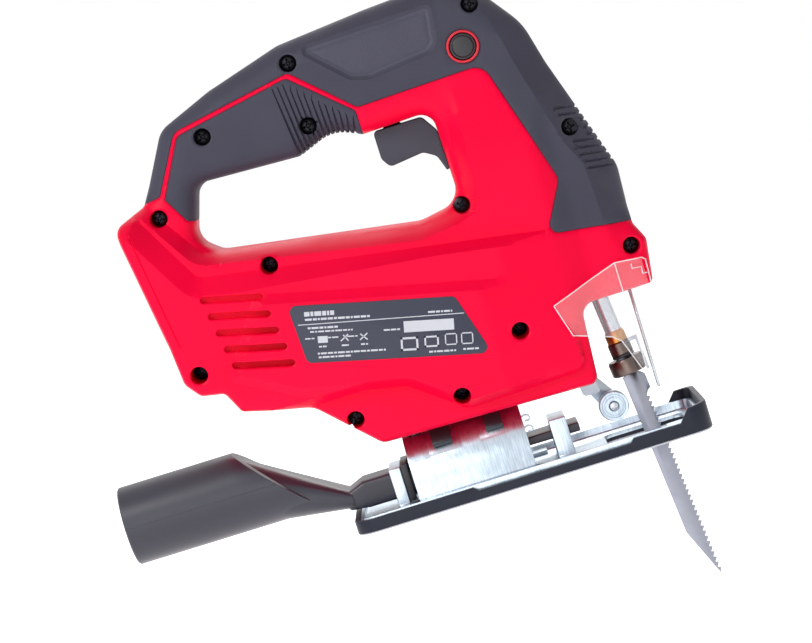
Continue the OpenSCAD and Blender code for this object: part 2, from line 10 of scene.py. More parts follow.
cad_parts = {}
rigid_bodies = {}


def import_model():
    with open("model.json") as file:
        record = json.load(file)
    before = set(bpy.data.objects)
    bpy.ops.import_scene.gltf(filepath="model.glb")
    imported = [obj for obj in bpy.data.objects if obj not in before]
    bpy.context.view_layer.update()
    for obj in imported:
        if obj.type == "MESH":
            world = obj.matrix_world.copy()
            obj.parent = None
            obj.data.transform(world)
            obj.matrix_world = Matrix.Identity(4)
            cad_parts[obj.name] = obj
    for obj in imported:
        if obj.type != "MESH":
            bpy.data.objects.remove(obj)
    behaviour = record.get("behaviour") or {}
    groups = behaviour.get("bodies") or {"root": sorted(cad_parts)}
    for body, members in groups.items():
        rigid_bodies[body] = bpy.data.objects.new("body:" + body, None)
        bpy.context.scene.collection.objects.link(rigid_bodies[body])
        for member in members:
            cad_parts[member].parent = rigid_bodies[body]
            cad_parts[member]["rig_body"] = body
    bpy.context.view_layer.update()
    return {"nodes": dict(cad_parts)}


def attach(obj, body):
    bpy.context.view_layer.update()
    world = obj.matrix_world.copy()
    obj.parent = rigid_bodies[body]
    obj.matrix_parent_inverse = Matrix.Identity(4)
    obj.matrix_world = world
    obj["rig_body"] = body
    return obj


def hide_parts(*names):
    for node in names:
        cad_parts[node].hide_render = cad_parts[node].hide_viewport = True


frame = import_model()
scene = bpy.context.scene
mm = 0.001
print("frame loaded:", len(frame["nodes"]), "CAD pieces")


def toLinear(hexColour):
    parts = [int(hexColour[i:i + 2], 16) / 255 for i in (1, 3, 5)]
    return [c / 12.92 if c <= 0.04045 else ((c + 0.055) / 1.055) ** 2.4 for c in parts] + [1.0]


def addNode(tree, kind, settings=None, links=None):
    node = tree.nodes.new(kind)
    for key, value in (settings or {}).items():
        if isinstance(key, int) or key in node.inputs:
            node.inputs[key].default_value = value
        else:
            setattr(node, key, value)
    for key, source in (links or {}).items():
        tree.links.new(source, node.inputs[key])
    return node


def newPiece(name, mesh, material, body, *nodes):
    piece = bpy.data.objects.new(name, mesh)
    scene.collection.objects.link(piece)
    if material and not mesh.materials:
        mesh.materials.append(material)
    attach(piece, body)
    if nodes:
        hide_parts(*nodes)
    return piece


def meshFrom(name, vertices, faces, sharpAngle=30):
    mesh = bpy.data.meshes.new(name)
    mesh.from_pydata([Vector(v) * mm for v in vertices], [], faces)
    mesh.shade_smooth()
    mesh.set_sharp_from_angle(angle=math.radians(sharpAngle))
    return mesh


def ringFaces(base, rings, around):
    # quads between rings of points that follow one another, from point number base
    return [(a + k, a + (k + 1) % around, a + around + (k + 1) % around, a + around + k)
            for a in range(base, base + (rings - 1) * around, around) for k in range(around)]


def baked(name, mesh, addModifiers):
    # runs modifiers on a mesh and gives back the plain result
    holder = bpy.data.objects.new(name, mesh)
    scene.collection.objects.link(holder)
    addModifiers(holder)
    bpy.context.view_layer.update()
    graph = bpy.context.evaluated_depsgraph_get()
    result = bpy.data.meshes.new_from_object(holder.evaluated_get(graph), depsgraph=graph)
    bpy.data.objects.remove(holder)
    result.name = name
    result.shade_smooth()
    result.set_sharp_from_angle(angle=math.radians(35))
    return result


# each material is named for what the real one is
def startMaterial(name, colour, roughness, metallic=0.0, shine=0.5):
    material = bpy.data.materials.new(name)
    material.use_nodes = True
    tree = material.node_tree
    shader = tree.nodes["Principled BSDF"]
    shader.inputs["Base Color"].default_value = toLinear(colour)
    shader.inputs["Roughness"].default_value = roughness
    shader.inputs["Metallic"].default_value = metallic
    shader.inputs["Specular IOR Level"].default_value = shine
    place = addNode(tree, "ShaderNodeTexCoord").outputs["Object"]
    return material, tree, shader, place


def addRelief(tree, shader, place, sizeMm, heightMm, detail=2.0, stretch=None):
    # a moulded, ground or brushed surface: a noise of that size pushes the normal about
    if stretch:
        place = addNode(tree, "ShaderNodeMapping", {"Scale": stretch}, {"Vector": place}).outputs[0]
    grain = addNode(tree, "ShaderNodeTexNoise", {"Scale": 1 / (sizeMm * mm), "Detail": detail},
                    {"Vector": place})
    bump = addNode(tree, "ShaderNodeBump", {"Strength": 1.0, "Distance": heightMm * mm},
                   {"Height": grain.outputs["Fac"]})
    tree.links.new(bump.outputs["Normal"], shader.inputs["Normal"])


def addClouding(tree, shader, place, sizeMm, colours, roughRange):
    # slow changes in colour and gloss, as on any handled or moulded surface
    cloud = addNode(tree, "ShaderNodeTexNoise", {"Scale": 1 / (sizeMm * mm), "Detail": 4.0},
                    {"Vector": place})
    tint = addNode(tree, "ShaderNodeMix", {"data_type": "RGBA"}, {0: cloud.outputs["Fac"]})
    tint.inputs[6].default_value, tint.inputs[7].default_value = map(toLinear, colours)
    tree.links.new(tint.outputs[2], shader.inputs["Base Color"])
    gloss = addNode(tree, "ShaderNodeMapRange", {"From Min": 0.3, "From Max": 0.7,
                    "To Min": roughRange[0], "To Max": roughRange[1]},
                    {"Value": cloud.outputs["Fac"]})
    tree.links.new(gloss.outputs[0], shader.inputs["Roughness"])


def moulded(name, colours, rough, grainMm, grainHeight, shine=0.5):
    # grained plastic gives back less of the room than polished, which is its shine
    material, tree, shader, place = startMaterial(name, colours[0], rough[0], shine=shine)
    addClouding(tree, shader, place, 26, colours, rough)
    addRelief(tree, shader, place, grainMm, grainHeight)
    return material


def metal(name, colours, rough, sizeMm, height, stretch=None):
    material, tree, shader, place = startMaterial(name, colours[0], rough[0], 1.0)
    addClouding(tree, shader, place, 9, colours, rough)
    addRelief(tree, shader, place, sizeMm, height, 3.0, stretch)
    return material


# glass-filled nylon, injection moulded with a fine spark-eroded grain: a satin, even red
redNylon = moulded("redNylon", ("#F6003C", "#EC0034"), (0.38, 0.47), 0.9, 0.018, shine=0.1)
# thermoplastic rubber moulded over the nylon: dull, almost no highlight
softRubber = moulded("softRubber", ("#42414F", "#3C3B48"), (0.55, 0.66), 0.8, 0.03, shine=0.2)
# black ABS of small fittings, lightly textured
blackAbs = moulded("blackAbs", ("#26262B", "#1E1E22"), (0.38, 0.5), 0.8, 0.02)
# acetal of the finger lever: smooth and slightly waxy
leverAcetal = moulded("leverAcetal", ("#3A3B48", "#33343F"), (0.38, 0.48), 1.2, 0.012, shine=0.35)
# nylon glide shoe: dark blue-grey with scuffed gloss
shoeNylon = moulded("shoeNylon", ("#1D2130", "#181B27"), (0.34, 0.5), 1.0, 0.03, shine=0.25)
# polypropylene blow-moulded hose end: nearly black, glossy, with a slight orange peel
hosePolypropylene = moulded("hosePolypropylene", ("#32323E", "#2A2A35"), (0.3, 0.4), 6.0, 0.03)
# printed polyester film of the rating plate
labelFilm = moulded("labelFilm", ("#3C3E4E", "#363847"), (0.34, 0.4), 1.6, 0.004, shine=0.3)
labelInk = moulded("labelInk", ("#C6C8D0", "#BCBEC8"), (0.4, 0.48), 1.6, 0.004)
ringNylon = moulded("ringNylon", ("#D8102C", "#C00C26"), (0.38, 0.46), 0.9, 0.015)
# polished, lightly scratched steel of pins, shafts and the plunger
pinSteel = metal("pinSteel", ("#C4C8CE", "#AEB2BA"), (0.18, 0.3), 0.5, 0.006, (1, 1, 8))
# cold-rolled spring steel of the clips and wires
springSteel = metal("springSteel", ("#B4BAC2", "#9CA2AA"), (0.26, 0.4), 0.6, 0.008, (4, 1, 1))
# stamped blade steel, ground along its length
bladeSteel = metal("bladeSteel", ("#A6A8B4", "#8E909C"), (0.28, 0.42), 0.35, 0.01, (10, 1, 0.6))
# blackened steel of the turning collar, turned on a lathe
collarSteel = metal("collarSteel", ("#7A6A64", "#5A4E4A"), (0.22, 0.36), 0.4, 0.01, (1, 1, 6))
brass = metal("brass", ("#CC9450", "#B47C38"), (0.24, 0.38), 0.6, 0.006)
sinteredBronze = metal("sinteredBronze", ("#B28C58", "#96744A"), (0.38, 0.5), 0.5, 0.02)
copper = metal("copper", ("#C07A4C", "#A8683E"), (0.25, 0.38), 0.6, 0.008)
castZinc = metal("castZinc", ("#9A9DA4", "#878A92"), (0.4, 0.55), 1.2, 0.03)
gearSteel = metal("gearSteel", ("#94989F", "#7E828A"), (0.28, 0.42), 0.6, 0.012)
screwSteel = metal("screwSteel", ("#2E2E34", "#222226"), (0.3, 0.42), 0.5, 0.01)
motorSteel = metal("motorSteel", ("#9EA2A8", "#8C9096"), (0.3, 0.42), 1.5, 0.01)
ferrite = moulded("ferrite", ("#3A3A3E", "#303034"), (0.6, 0.7), 0.9, 0.03)


def drawnZinc(name):
    # zinc-plated steel sheet drawn over a die: cool silver with fine marks round the bend and
    # broad soft dents that break up what it mirrors
    material, tree, shader, place = startMaterial(name, "#B7C4CF", 0.3, 1.0)
    across = addNode(tree, "ShaderNodeMapping", {"Scale": (9, 0.7, 0.7)}, {"Vector": place})
    marks = addNode(tree, "ShaderNodeTexNoise", {"Scale": 240.0, "Detail": 5.0},
                    {"Vector": across.outputs[0]})
    grey = addNode(tree, "ShaderNodeMapRange", {"From Min": 0.3, "From Max": 0.7},
                   {"Value": marks.outputs["Fac"]})
    tint = addNode(tree, "ShaderNodeMix", {"data_type": "RGBA"}, {0: grey.outputs[0]})
    tint.inputs[6].default_value, tint.inputs[7].default_value = map(toLinear, ("#A9B9C8", "#CFDAE3"))
    tree.links.new(tint.outputs[2], shader.inputs["Base Color"])
    dents = addNode(tree, "ShaderNodeTexNoise", {"Scale": 70.0, "Detail": 2.0}, {"Vector": place})
    fine = addNode(tree, "ShaderNodeBump", {"Strength": 1.0, "Distance": 0.00004},
                   {"Height": marks.outputs["Fac"]})
    soft = addNode(tree, "ShaderNodeBump", {"Strength": 1.0, "Distance": 0.0006},
                   {"Height": dents.outputs["Fac"], "Normal": fine.outputs[0]})
    tree.links.new(soft.outputs[0], shader.inputs["Normal"])
    return material


def leatherGrain(name):
    # the same rubber where the mould was etched with small cells, like leather
    material, tree, shader, place = startMaterial(name, "#464553", 0.6, shine=0.25)
    addClouding(tree, shader, place, 20, ("#4A4958", "#434250"), (0.52, 0.64))
    cells = addNode(tree, "ShaderNodeTexVoronoi", {"feature": "DISTANCE_TO_EDGE",
                    "Scale": 1 / (1.5 * mm)}, {"Vector": place})
    edge = addNode(tree, "ShaderNodeMapRange", {"From Max": 0.16}, {"Value": cells.outputs[0]})
    bump = addNode(tree, "ShaderNodeBump", {"Strength": 0.5, "Distance": 0.0001},
                   {"Height": edge.outputs[0]})
    tree.links.new(bump.outputs[0], shader.inputs["Normal"])
    return material


def clearSheet(name, cover, rough):
    # polycarbonate sheet a millimetre or two thick: nearly clear, with a milky film of fine
    # scratches; where the sheet is seen edge on, more of it is in the way, and the denser white of the
    # edge bars is also painted highlight for the light the edges catch
    material, tree, shader, place = startMaterial(name, "#F2F5F8", rough)
    long = addNode(tree, "ShaderNodeMapping", {"Scale": (1, 1, 7)}, {"Vector": place})
    scratch = addNode(tree, "ShaderNodeTexNoise", {"Scale": 260.0, "Detail": 5.0},
                      {"Vector": long.outputs[0]})
    film = addNode(tree, "ShaderNodeMapRange", {"From Min": 0.35, "From Max": 0.75,
                   "To Min": cover * 0.8, "To Max": cover * 1.25}, {"Value": scratch.outputs["Fac"]})
    tree.links.new(film.outputs[0], shader.inputs["Alpha"])
    return material


zincSheet = drawnZinc("zincSheet")
etchedRubber = leatherGrain("etchedRubber")
polycarbonate = clearSheet("polycarbonate", 0.085, 0.08)
# the sheet's edges: haze seen edge on, and partly painted highlight of the bright outline
sheetEdgeHighlight = clearSheet("sheetEdgeHighlight", 0.62, 0.2)
print("materials made")

# outlines that the shell, grips and trims share: x, z and corner radius in mm
outlines = {
    "outer": [[-146.5, 163.4, 5], [-132, 169.4, 4], [-115, 200, 12], [-89, 210.5, 30],
              [-53, 221, 12], [-11, 224.8, 60], [34, 227.5, 22], [56, 198, 30], [61, 178, 30],
              [78.5, 124, 16], [77, 97, 3], [80.8, 89, 5], [78, 69, 2.5], [43.5, 69, 6],
              [41, 33.3, 4], [-60, 35.9, 6], [-85, 60.5, 10], [-116, 69, 3], [-121, 79, 3],
              [-131.5, 81, 4], [-137, 88, 5], [-138.4, 105, 10]],
    "opening": [[-113.8, 148, 9], [-106, 172.3, 7], [-57.5, 170.3, 6], [-40.2, 176.8, 17],
                [-27.5, 171.3, 3], [5, 172.3, 7], [5.6, 129, 10],
                [-14, 125.6, 14], [-104, 140, 9]],
    "saddle": [[-160, 170, 0], [-131, 170, 0], [-113, 142, 8], [-16, 124, 12], [8, 127, 8],
               [11, 184, 0], [13, 260, 0], [-160, 260, 0]],
    "ridge": [[-160, 163, 0], [-137, 167, 0], [-117, 132, 6], [0, 112.9, 0], [41, 106, 0],
              [110, 93, 0], [110, 260, 0], [-160, 260, 0]],
    "upperGrip": [[-140, 169.2, 0], [-123.3, 171.4, 2], [-108.5, 197.4, 6], [-51.7, 207.6, 4],
                  [-26.2, 183.7, 4], [33, 185.4, 8], [50.6, 126.5, 6], [38.2, 104.2, 4],
                  [90, 96.6, 0], [90, 250, 0], [-140, 250, 0]],
    "rearGrip": [[-121.5, 169.6, 1], [-107.8, 195.4, 5], [-53.2, 205.7, 3], [-27.4, 182.7, 3],
                 [-27.2, 165, 0], [-100, 150, 0], [-110, 156, 0], [-114.5, 157.5, 1]],
    "panel": [[-95, 117.6, 3], [26, 89, 16], [40, 76, 8], [38, 41, 6], [-18, 39.6, 8],
              [-42, 57.8, 10], [-88, 67, 12], [-118, 84, 4]],
    "thumbPad": [[-46.9, 217.2, 3], [-25.7, 196.2, 5], [-16.5, 193.8, 4], [12.9, 197, 5],
                 [16.7, 201, 4], [19, 218.6, 3]],
    "frontLine": [[30, 240, 0], [41.3, 206.8, 4], [48.5, 175, 0], [57.8, 140.7, 8],
                  [63.1, 130, 6], [64.5, 102.4, 0], [66.5, 60, 0], [140, 60, 0], [140, 240, 0]],
}
# the front edge of the handle is notched where the finger ribs run out
notches = {"first": (68.5, 154.9), "step": (1.1, -3.4), "count": 9, "half": 0.8, "depth": 0.95}
for k in range(notches["count"]):
    way, inward = np.array([0.311, -0.950]), np.array([-0.950, -0.311])
    mid = np.array(notches["first"]) + np.array(notches["step"]) * k
    cut = [[*(mid - way * notches["half"]), 0.45], [*(mid + inward * notches["depth"]), 0.25],
           [*(mid + way * notches["half"]), 0.45]]
    at = outlines["outer"].index([78.5, 124, 16])
    outlines["outer"][at:at] = cut

screwSpots = [[-126.6, 162.3], [-96.9, 191.7], [-50.3, 211.8], [-49.9, 182.4], [35.5, 213],
              [-84.9, 127.9], [-129.3, 90.4], [5.6, 127.9], [62.4, 147], [73.2, 87.8],
              [14, 66.9], [-19.5, 46.7], [-68.6, 49.8]]
buttonSpot, selectorSpot = [27, 195.7], [22, 56]


def spoke(angle):
    return np.array([math.cos(angle), math.sin(angle)])


def directions(a, b):
    # unit vectors from a to b and square to that
    way = (b - a) / np.linalg.norm(b - a)
    return way, np.array([-way[1], way[0]])


def sampled(outline, step, filled=True):
    # rounds each corner and walks round the outline in steps of about that many mm
    count, line = len(outline), []
    for i in range(count):
        before, here, after = (np.array(outline[(i + k) % count][:2], float) for k in (-1, 0, 1))
        radius = outline[i][2]
        if radius <= 0:
            line.append(here)
            continue
        back = (before - here) / np.linalg.norm(before - here)
        ahead = (after - here) / np.linalg.norm(after - here)
        half = math.acos(np.clip(back @ ahead, -1, 1)) / 2
        centre = here + (back + ahead) / np.linalg.norm(back + ahead) * radius / math.sin(half)
        start = here + back * radius / math.tan(half) - centre
        turn = back[0] * ahead[1] - back[1] * ahead[0]
        sweep = (math.pi - 2 * half) * (-1 if turn > 0 else 1)
        pieces = max(2, math.ceil(abs(sweep) / 0.2), math.ceil(abs(sweep) * radius / step))
        angle = math.atan2(start[1], start[0])
        for k in range(pieces + 1):
            line.append(centre + radius * spoke(angle + sweep * k / pieces))
    if not filled:
        return np.array(line)
    dense = []
    for i, a in enumerate(line):
        b = line[(i + 1) % len(line)]
        pieces = max(1, math.ceil(np.linalg.norm(b - a) / step - 0.2))
        dense += [a + (b - a) * k / pieces for k in range(pieces)]
    return np.array(dense)


def nearest(points, line):
    # distance to a closed line, positive inside it
    a, b = line, np.roll(line, -1, 0)
    ab = b - a
    length2 = (ab ** 2).sum(1) + 1e-12
    distance, inside = np.empty(len(points)), np.empty(len(points), bool)
    for s in range(0, len(points), 3000):
        p = points[s:s + 3000, None]
        t = np.clip(((p - a) * ab).sum(2) / length2, 0, 1)
        distance[s:s + 3000] = np.hypot(*np.moveaxis(p - a - t[..., None] * ab, 2, 0)).min(1)
        px, pz = p[..., 0], p[..., 1]
        rise = np.where(ab[:, 1] == 0, 1e-12, ab[:, 1])
        crossed = ((a[:, 1] > pz) != (b[:, 1] > pz)) & (px < ab[:, 0] * (pz - a[:, 1]) / rise + a[:, 0])
        inside[s:s + 3000] = crossed.sum(1) % 2 == 1
    return np.where(inside, distance, -distance)


def offset(line, distance):
    # the line moved inwards by a distance, one for all points or one each
    along = np.roll(line, -1, 0) - np.roll(line, 1, 0)
    along /= np.linalg.norm(along, axis=1)[:, None] + 1e-12
    area = (line[:, 0] * np.roll(line[:, 1], -1) - np.roll(line[:, 0], -1) * line[:, 1]).sum()
    inward = np.stack([-along[:, 1], along[:, 0]], 1) * (1 if area > 0 else -1)
    return line + inward * np.broadcast_to(np.asarray(distance, float), len(line))[:, None]


def notched(line):
    # the finger ribs cut through the edge of the opening
    zone = (line[:, 0] > -57.6) & (line[:, 0] < -29.9) & (line[:, 1] > 165)
    start, curve, points = int(np.argmax(zone)), line[zone], []
    for k in range(13):
        c = -56.8 + 26.0 * k / 12
        for x, lift in ((c - 0.62, 0.0), (c, 1.3), (c + 0.62, 0.0)):
            points.append([x, float(np.interp(x, curve[:, 0], curve[:, 1])) + lift])
    return np.concatenate([line[:start], points, line[start + int(zone.sum()):]])


lines = {key: sampled(value, 1.5) for key, value in outlines.items()}
bounds = {key: sampled(value, 1.5, False) for key, value in outlines.items()}
lines["opening"] = bounds["opening"] = notched(lines["opening"])

shellSizes = {
    "handleHalf": 17.0,      # half width of the handle
    "columnHalf": 25.0,      # of the column and the band above the ridge
    "bodyHalf": 31.0,        # of the body outside the side panel
    "panelHalf": 34.0,       # of the side panel
    "skirtHalf": 24.0,       # of the low skirt
    "panelChamfer": 4.5,     # width of the slope round the side panel
    "saddleSlope": 5.5,      # width of the slope beside the finger opening
    "bodyEdge": 3.2,         # edge radius of the body
    "handleEdge": 14.0,      # edge radius of the handle
    "openingEdge": 8.0,      # edge radius round the finger opening
    "wall": 2.6,             # wall thickness
    "gripLayer": 2.4,        # thickness of the rubber layer
    "jointDepth": 0.7,       # depth of the joint line round the rubber
    "partingGroove": 0.3,    # depth of the parting line
    "boreRadius": 4.05,      # screw recess
    "headDepth": 10.0,       # screw seat, from the parting plane
    "rim": 2.0,              # least half width, at the outline
    "top": 226.74,           # highest point, just inside the tool's own height
    "gridStep": 2.5,         # spacing of the surface points
}
ventSizes = {"count": 5, "length": 28.0, "halfHeight": 1.65, "pitch": 8.05, "floor": 27.4,
             "slope": 13.7, "start": (-118.6, 122.4), "shift": 1.25}


def ribGrooves():
    # each groove as start, end, half width, depth, and how wide each end is
    for k in range(13):
        # the fan under the index finger
        t = k / 12
        x0, x1 = -60.3 + 31.0 * t, -56.8 + 26.0 * t
        z0 = min(202.4, 201.4 - 0.8745 * (x0 + 54))
        z1 = np.interp(x1, [-57.5, -47, -41, -35, -28], [170.3, 174.2, 175.3, 174.6, 171.5]) - 1
        yield np.array([x0, z0]), np.array([x1, z1]), 0.8, 1.6, (0.4, 1.0)
    for k in range(10):
        # the ribs across the front of the handle; the screw sits among them
        x, z = 58.3 + 0.78 * k, 157 - 3.33 * k
        if k in (2, 3, 4):
            x, z = 68.3 + 0.5 * (k - 2), z - 2.0
        ahead = (61 + 0.3241 * (178 - z) - x) / 0.915
        end = np.array([x + 0.98 * ahead, z - 0.2 * ahead])
        yield np.array([x, z]), end, 0.85, 1.5, (1.0, 0.3)
    # a fine line inside the rear edge of the foot
    yield np.array([-141.0, 160.5]), np.array([-133.6, 105.5]), 0.3, 0.45, (1.0, 1.0)


def smoothStep(t):
    t = np.clip(t, 0, 1)
    return t * t * (3 - 2 * t)


def ventLines():
    # the middle line of each slot
    turn = math.radians(ventSizes["slope"])
    for i in range(ventSizes["count"]):
        a = np.array([ventSizes["start"][0] + ventSizes["shift"] * i,
                      ventSizes["start"][1] - ventSizes["pitch"] * i])
        way = np.array([math.cos(turn), -math.sin(turn)])
        yield a + way * 1.45, a + way * (ventSizes["length"] - 1.45)


def ridgeWidth(x):
    # the slope from the ridge down to the body widens to the rear
    return 4.5 + 4.5 * np.clip((-x - 10) / 100, 0, 1)


def edgeRadius(ridge):
    s = shellSizes
    return s["bodyEdge"] + (s["handleEdge"] - s["bodyEdge"]) * np.clip((ridge + 1) / 15, 0, 1)


def edgeDrop(radius, gap):
    # how far a rounded edge has fallen, at a gap inside its outline
    reach = np.clip(radius - gap, 0, radius)
    return radius - np.sqrt(np.maximum(radius ** 2 - reach ** 2, 0))


def alongLine(points, a, b):
    # how far along from a to b each point lies, from 0 to 1, and its distance from that line
    t = np.clip(((points - a) @ (b - a)) / ((b - a) @ (b - a)), 0, 1)
    return t, np.hypot(*(points - a - t[:, None] * (b - a)).T)


def heights(points, left):
    # how far the outer skin stands from the parting plane, in mm
    s = shellSizes
    x, z = points.T
    far = {key: nearest(points, bounds[key]) for key in
           ("outer", "opening", "saddle", "ridge", "panel", "frontLine")}
    low = s["skirtHalf"] + (s["bodyHalf"] - s["skirtHalf"]) * np.clip((z - 61.5) / 4, 0, 1)
    level = low + (s["panelHalf"] - low) * np.clip(far["panel"] / s["panelChamfer"], 0, 1)
    column = s["columnHalf"] - (s["columnHalf"] - s["handleHalf"]) * smoothStep((z - 138) / 52)
    level = column + (level - column) * np.clip(-far["ridge"] / ridgeWidth(x), 0, 1)
    # the side swells from the handle to the body through one steep slope
    swell = np.clip(-far["saddle"] / s["saddleSlope"], 0, 1)
    level = s["handleHalf"] + (level - s["handleHalf"]) * swell
    taper = np.interp(x, [2, 40, 52, 90], [34, 26, 21, 19])
    level = np.minimum(level, taper)
    level = level - 0.72 * np.clip(far["frontLine"], 0, 40) * np.clip((z - 84) / 20, 0.25, 1)
    radius = np.minimum(edgeRadius(far["ridge"]), np.maximum(level - 2.0, 1.5))
    height = level - edgeDrop(radius, far["outer"]) - edgeDrop(s["openingEdge"], -far["opening"])
    height = np.maximum(height, s["rim"])
    for key in ("upperGrip", "rearGrip"):
        g = np.abs(nearest(points, bounds[key]))
        height -= s["jointDepth"] * (1 - np.clip(g / 0.9, 0, 1)) ** 2
    pad = nearest(points, bounds["thumbPad"])
    height = height - 0.9 * np.clip(pad / 1.8, 0, 1) + 0.3 * np.exp(-((pad + 0.3) / 0.6) ** 2)
    height -= 0.3 * np.exp(-((pad - 3.2) / 0.45) ** 2)
    for a, b, half, depth, ends in ribGrooves():
        t, d = alongLine(points, a, b)
        wide = half * (ends[0] + (ends[1] - ends[0]) * t)
        height -= depth * (wide / half) * (1 - np.clip(d / wide, 0, 1) ** 2)
    for a, b in ventLines():
        d = ventSizes["halfHeight"] - alongLine(points, a, b)[1]
        height -= 0.3 * np.clip(1 + d / 0.5, 0, 1)
        height += (np.minimum(height, ventSizes["floor"]) - height) * np.clip((d - 0.02) / 0.2, 0, 1)
    if left:
        d = np.hypot(x - selectorSpot[0], z - selectorSpot[1])
        height = np.where(d < 10.55, np.minimum(height, 25.5), height - 0.5 * np.clip(11.4 - d, 0, 0.8))
        return height, far
    for spot in screwSpots:
        d = np.hypot(x - spot[0], z - spot[1]) - s["boreRadius"]
        height = np.where(d < -0.08, s["headDepth"], height - 0.45 * np.clip(1 - d / 0.8, 0, 1))
    d = np.hypot(x - buttonSpot[0], z - buttonSpot[1]) - 7.4
    height = np.where(d < -0.08, 8.0, height - 0.4 * np.clip(1 - d / 0.9, 0, 1))
    return height, far


def turned(points):
    # the battery bay is drawn in a frame that leans with the rear face
    c, n = math.cos(math.radians(6.9)), math.sin(math.radians(6.9))
    return [[-146 + x * c - z * n, 162 + x * n + z * c] for x, z in points]


def sharpLine(points):
    return sampled([[x, z, 0] for x, z in points], 1.5, False)


# hollows that open through the outline: how far from the parting plane each one reaches
pockets = [
    (sharpLine(turned([[-20, -60], [8, -60], [8, -6], [-20, -6]])), 26.0),
    (sharpLine(turned([[-20, -112], [3.2, -112], [3.2, -59], [-20, -59]])), 26.0),
    (sharpLine([[26, 28], [48, 28], [48, 74], [26, 74]]), 8.4),
    (sharpLine([[49, 58], [66, 58], [64, 90], [45, 90]]), 9.5),
    (sharpLine([[-24, 140], [6.4, 140], [6.4, 181], [-24, 181]]), 8.0),
]


def surfacePoints(left):
    # loops that the triangles must follow, then points for edges, creases and open areas
    loops = [lines[key] for key in ("outer", "opening", "upperGrip", "rearGrip")]
    points, cells = [], {}

    def add(batch, least):
        for p in batch:
            cx, cz = int(p[0] // 1.5), int(p[1] // 1.5)
            near = (q for i in (-1, 0, 1) for j in (-1, 0, 1) for q in cells.get((cx + i, cz + j), ()))
            if all((q[0] - p[0]) ** 2 + (q[1] - p[1]) ** 2 > least ** 2 for q in near):
                cells.setdefault((cx, cz), []).append(p)
                points.append(p)

    circles = [(selectorSpot, (10.4, 10.6, 11.4))] if left else \
        [(spot, (3.9, 4.05, 4.85)) for spot in screwSpots] + [(buttonSpot, (7.2, 7.4, 8.3))]
    for loop in loops:
        add(loop, 0.05)
    for spot, radii in circles:
        count = 28 if radii[0] < 5 else 44
        for radius in radii:
            add([np.array(spot) + radius * spoke(2 * math.pi * k / count) for k in range(count)], 0.1)
    for a, b in ventLines():
        way, side = directions(a, b)
        for d in (0.22, 0.02, -0.5):
            r = ventSizes["halfHeight"] - d
            steps = np.linspace(0, np.linalg.norm(b - a), 22)
            ends = [k * math.pi / 8 for k in range(1, 8)]
            add([a + way * t + side * r * k for k in (-1, 1) for t in steps]
                + [b + r * (side * math.cos(t) + way * math.sin(t)) for t in ends]
                + [a + r * (side * math.cos(t) - way * math.sin(t)) for t in ends], 0.1)
    for key in ("upperGrip", "rearGrip"):
        for d in (0.4, -0.4, 0.95, -0.95):
            add(offset(lines[key], d), 0.25)
    for key, radius in (("outer", None), ("opening", -shellSizes["openingEdge"])):
        line = lines[key]
        if radius is None:
            radius = edgeRadius(nearest(line, bounds["ridge"]))
        for angle in (14, 28, 42, 56, 70, 90):
            d = radius * (1 - math.cos(math.radians(angle)))
            moved = offset(line, d)
            add(moved[np.abs(nearest(moved, bounds[key])) > np.abs(d) * 0.97], 0.4)
    ridge = lines["ridge"]
    for line in (lines["saddle"], offset(lines["saddle"], -shellSizes["saddleSlope"]), ridge,
                 offset(ridge, -ridgeWidth(ridge[:, 0])), lines["panel"],
                 offset(lines["panel"], shellSizes["panelChamfer"]), lines["frontLine"],
                 lines["thumbPad"], offset(lines["thumbPad"], 1.8)):
        add(line, 0.5)
    for d in (-0.9, -0.3, 0.4, 2.7, 3.2, 3.7):
        add(offset(lines["thumbPad"], d), 0.35)
    for a, b, half, depth, ends in ribGrooves():
        way, side = directions(a, b)
        for t in np.linspace(0, 1, max(8, int(np.linalg.norm(b - a) / 1.1))):
            wide = half * (ends[0] + (ends[1] - ends[0]) * t)
            for k in (0, -0.5, 0.5, -1, 1):
                add([a + (b - a) * t + side * wide * k], 0.12)
    for level in (61.5, 65.5):
        add([np.array([x, level]) for x in np.arange(-125, 60, 1.5)], 0.5)
    step = shellSizes["gridStep"]
    for row, z in enumerate(np.arange(32, 230, step * 0.866)):
        add([np.array([x, z]) for x in np.arange(-149 + (row % 2) * step / 2, 84, step)], 1.15)
    return points, loops


def triangulated(left):
    points, loops = surfacePoints(left)
    known = {(round(p[0], 6), round(p[1], 6)): i for i, p in enumerate(points)}
    edges = []
    for loop in loops:
        index = [known.get((round(p[0], 6), round(p[1], 6))) for p in loop]
        index = [i for i in index if i is not None]
        edges += [(index[i], index[(i + 1) % len(index)]) for i in range(len(index))]
    result = delaunay_2d_cdt([Vector(p) for p in points], edges, [], 0, 1e-5)
    flat = np.array([tuple(v) for v in result[0]])
    faces = np.array([f for f in result[2] if len(f) == 3])
    corner = flat[faces]
    area = (corner[:, 1, 0] - corner[:, 0, 0]) * (corner[:, 2, 1] - corner[:, 0, 1]) \
        - (corner[:, 2, 0] - corner[:, 0, 0]) * (corner[:, 1, 1] - corner[:, 0, 1])
    faces[area < 0] = faces[area < 0][:, ::-1]
    middle = corner.mean(1)
    keep = (nearest(middle, bounds["outer"]) > 0) & (nearest(middle, bounds["opening"]) < 0) \
        & (np.abs(area) > 1e-5)
    return flat, faces[keep], middle[keep]


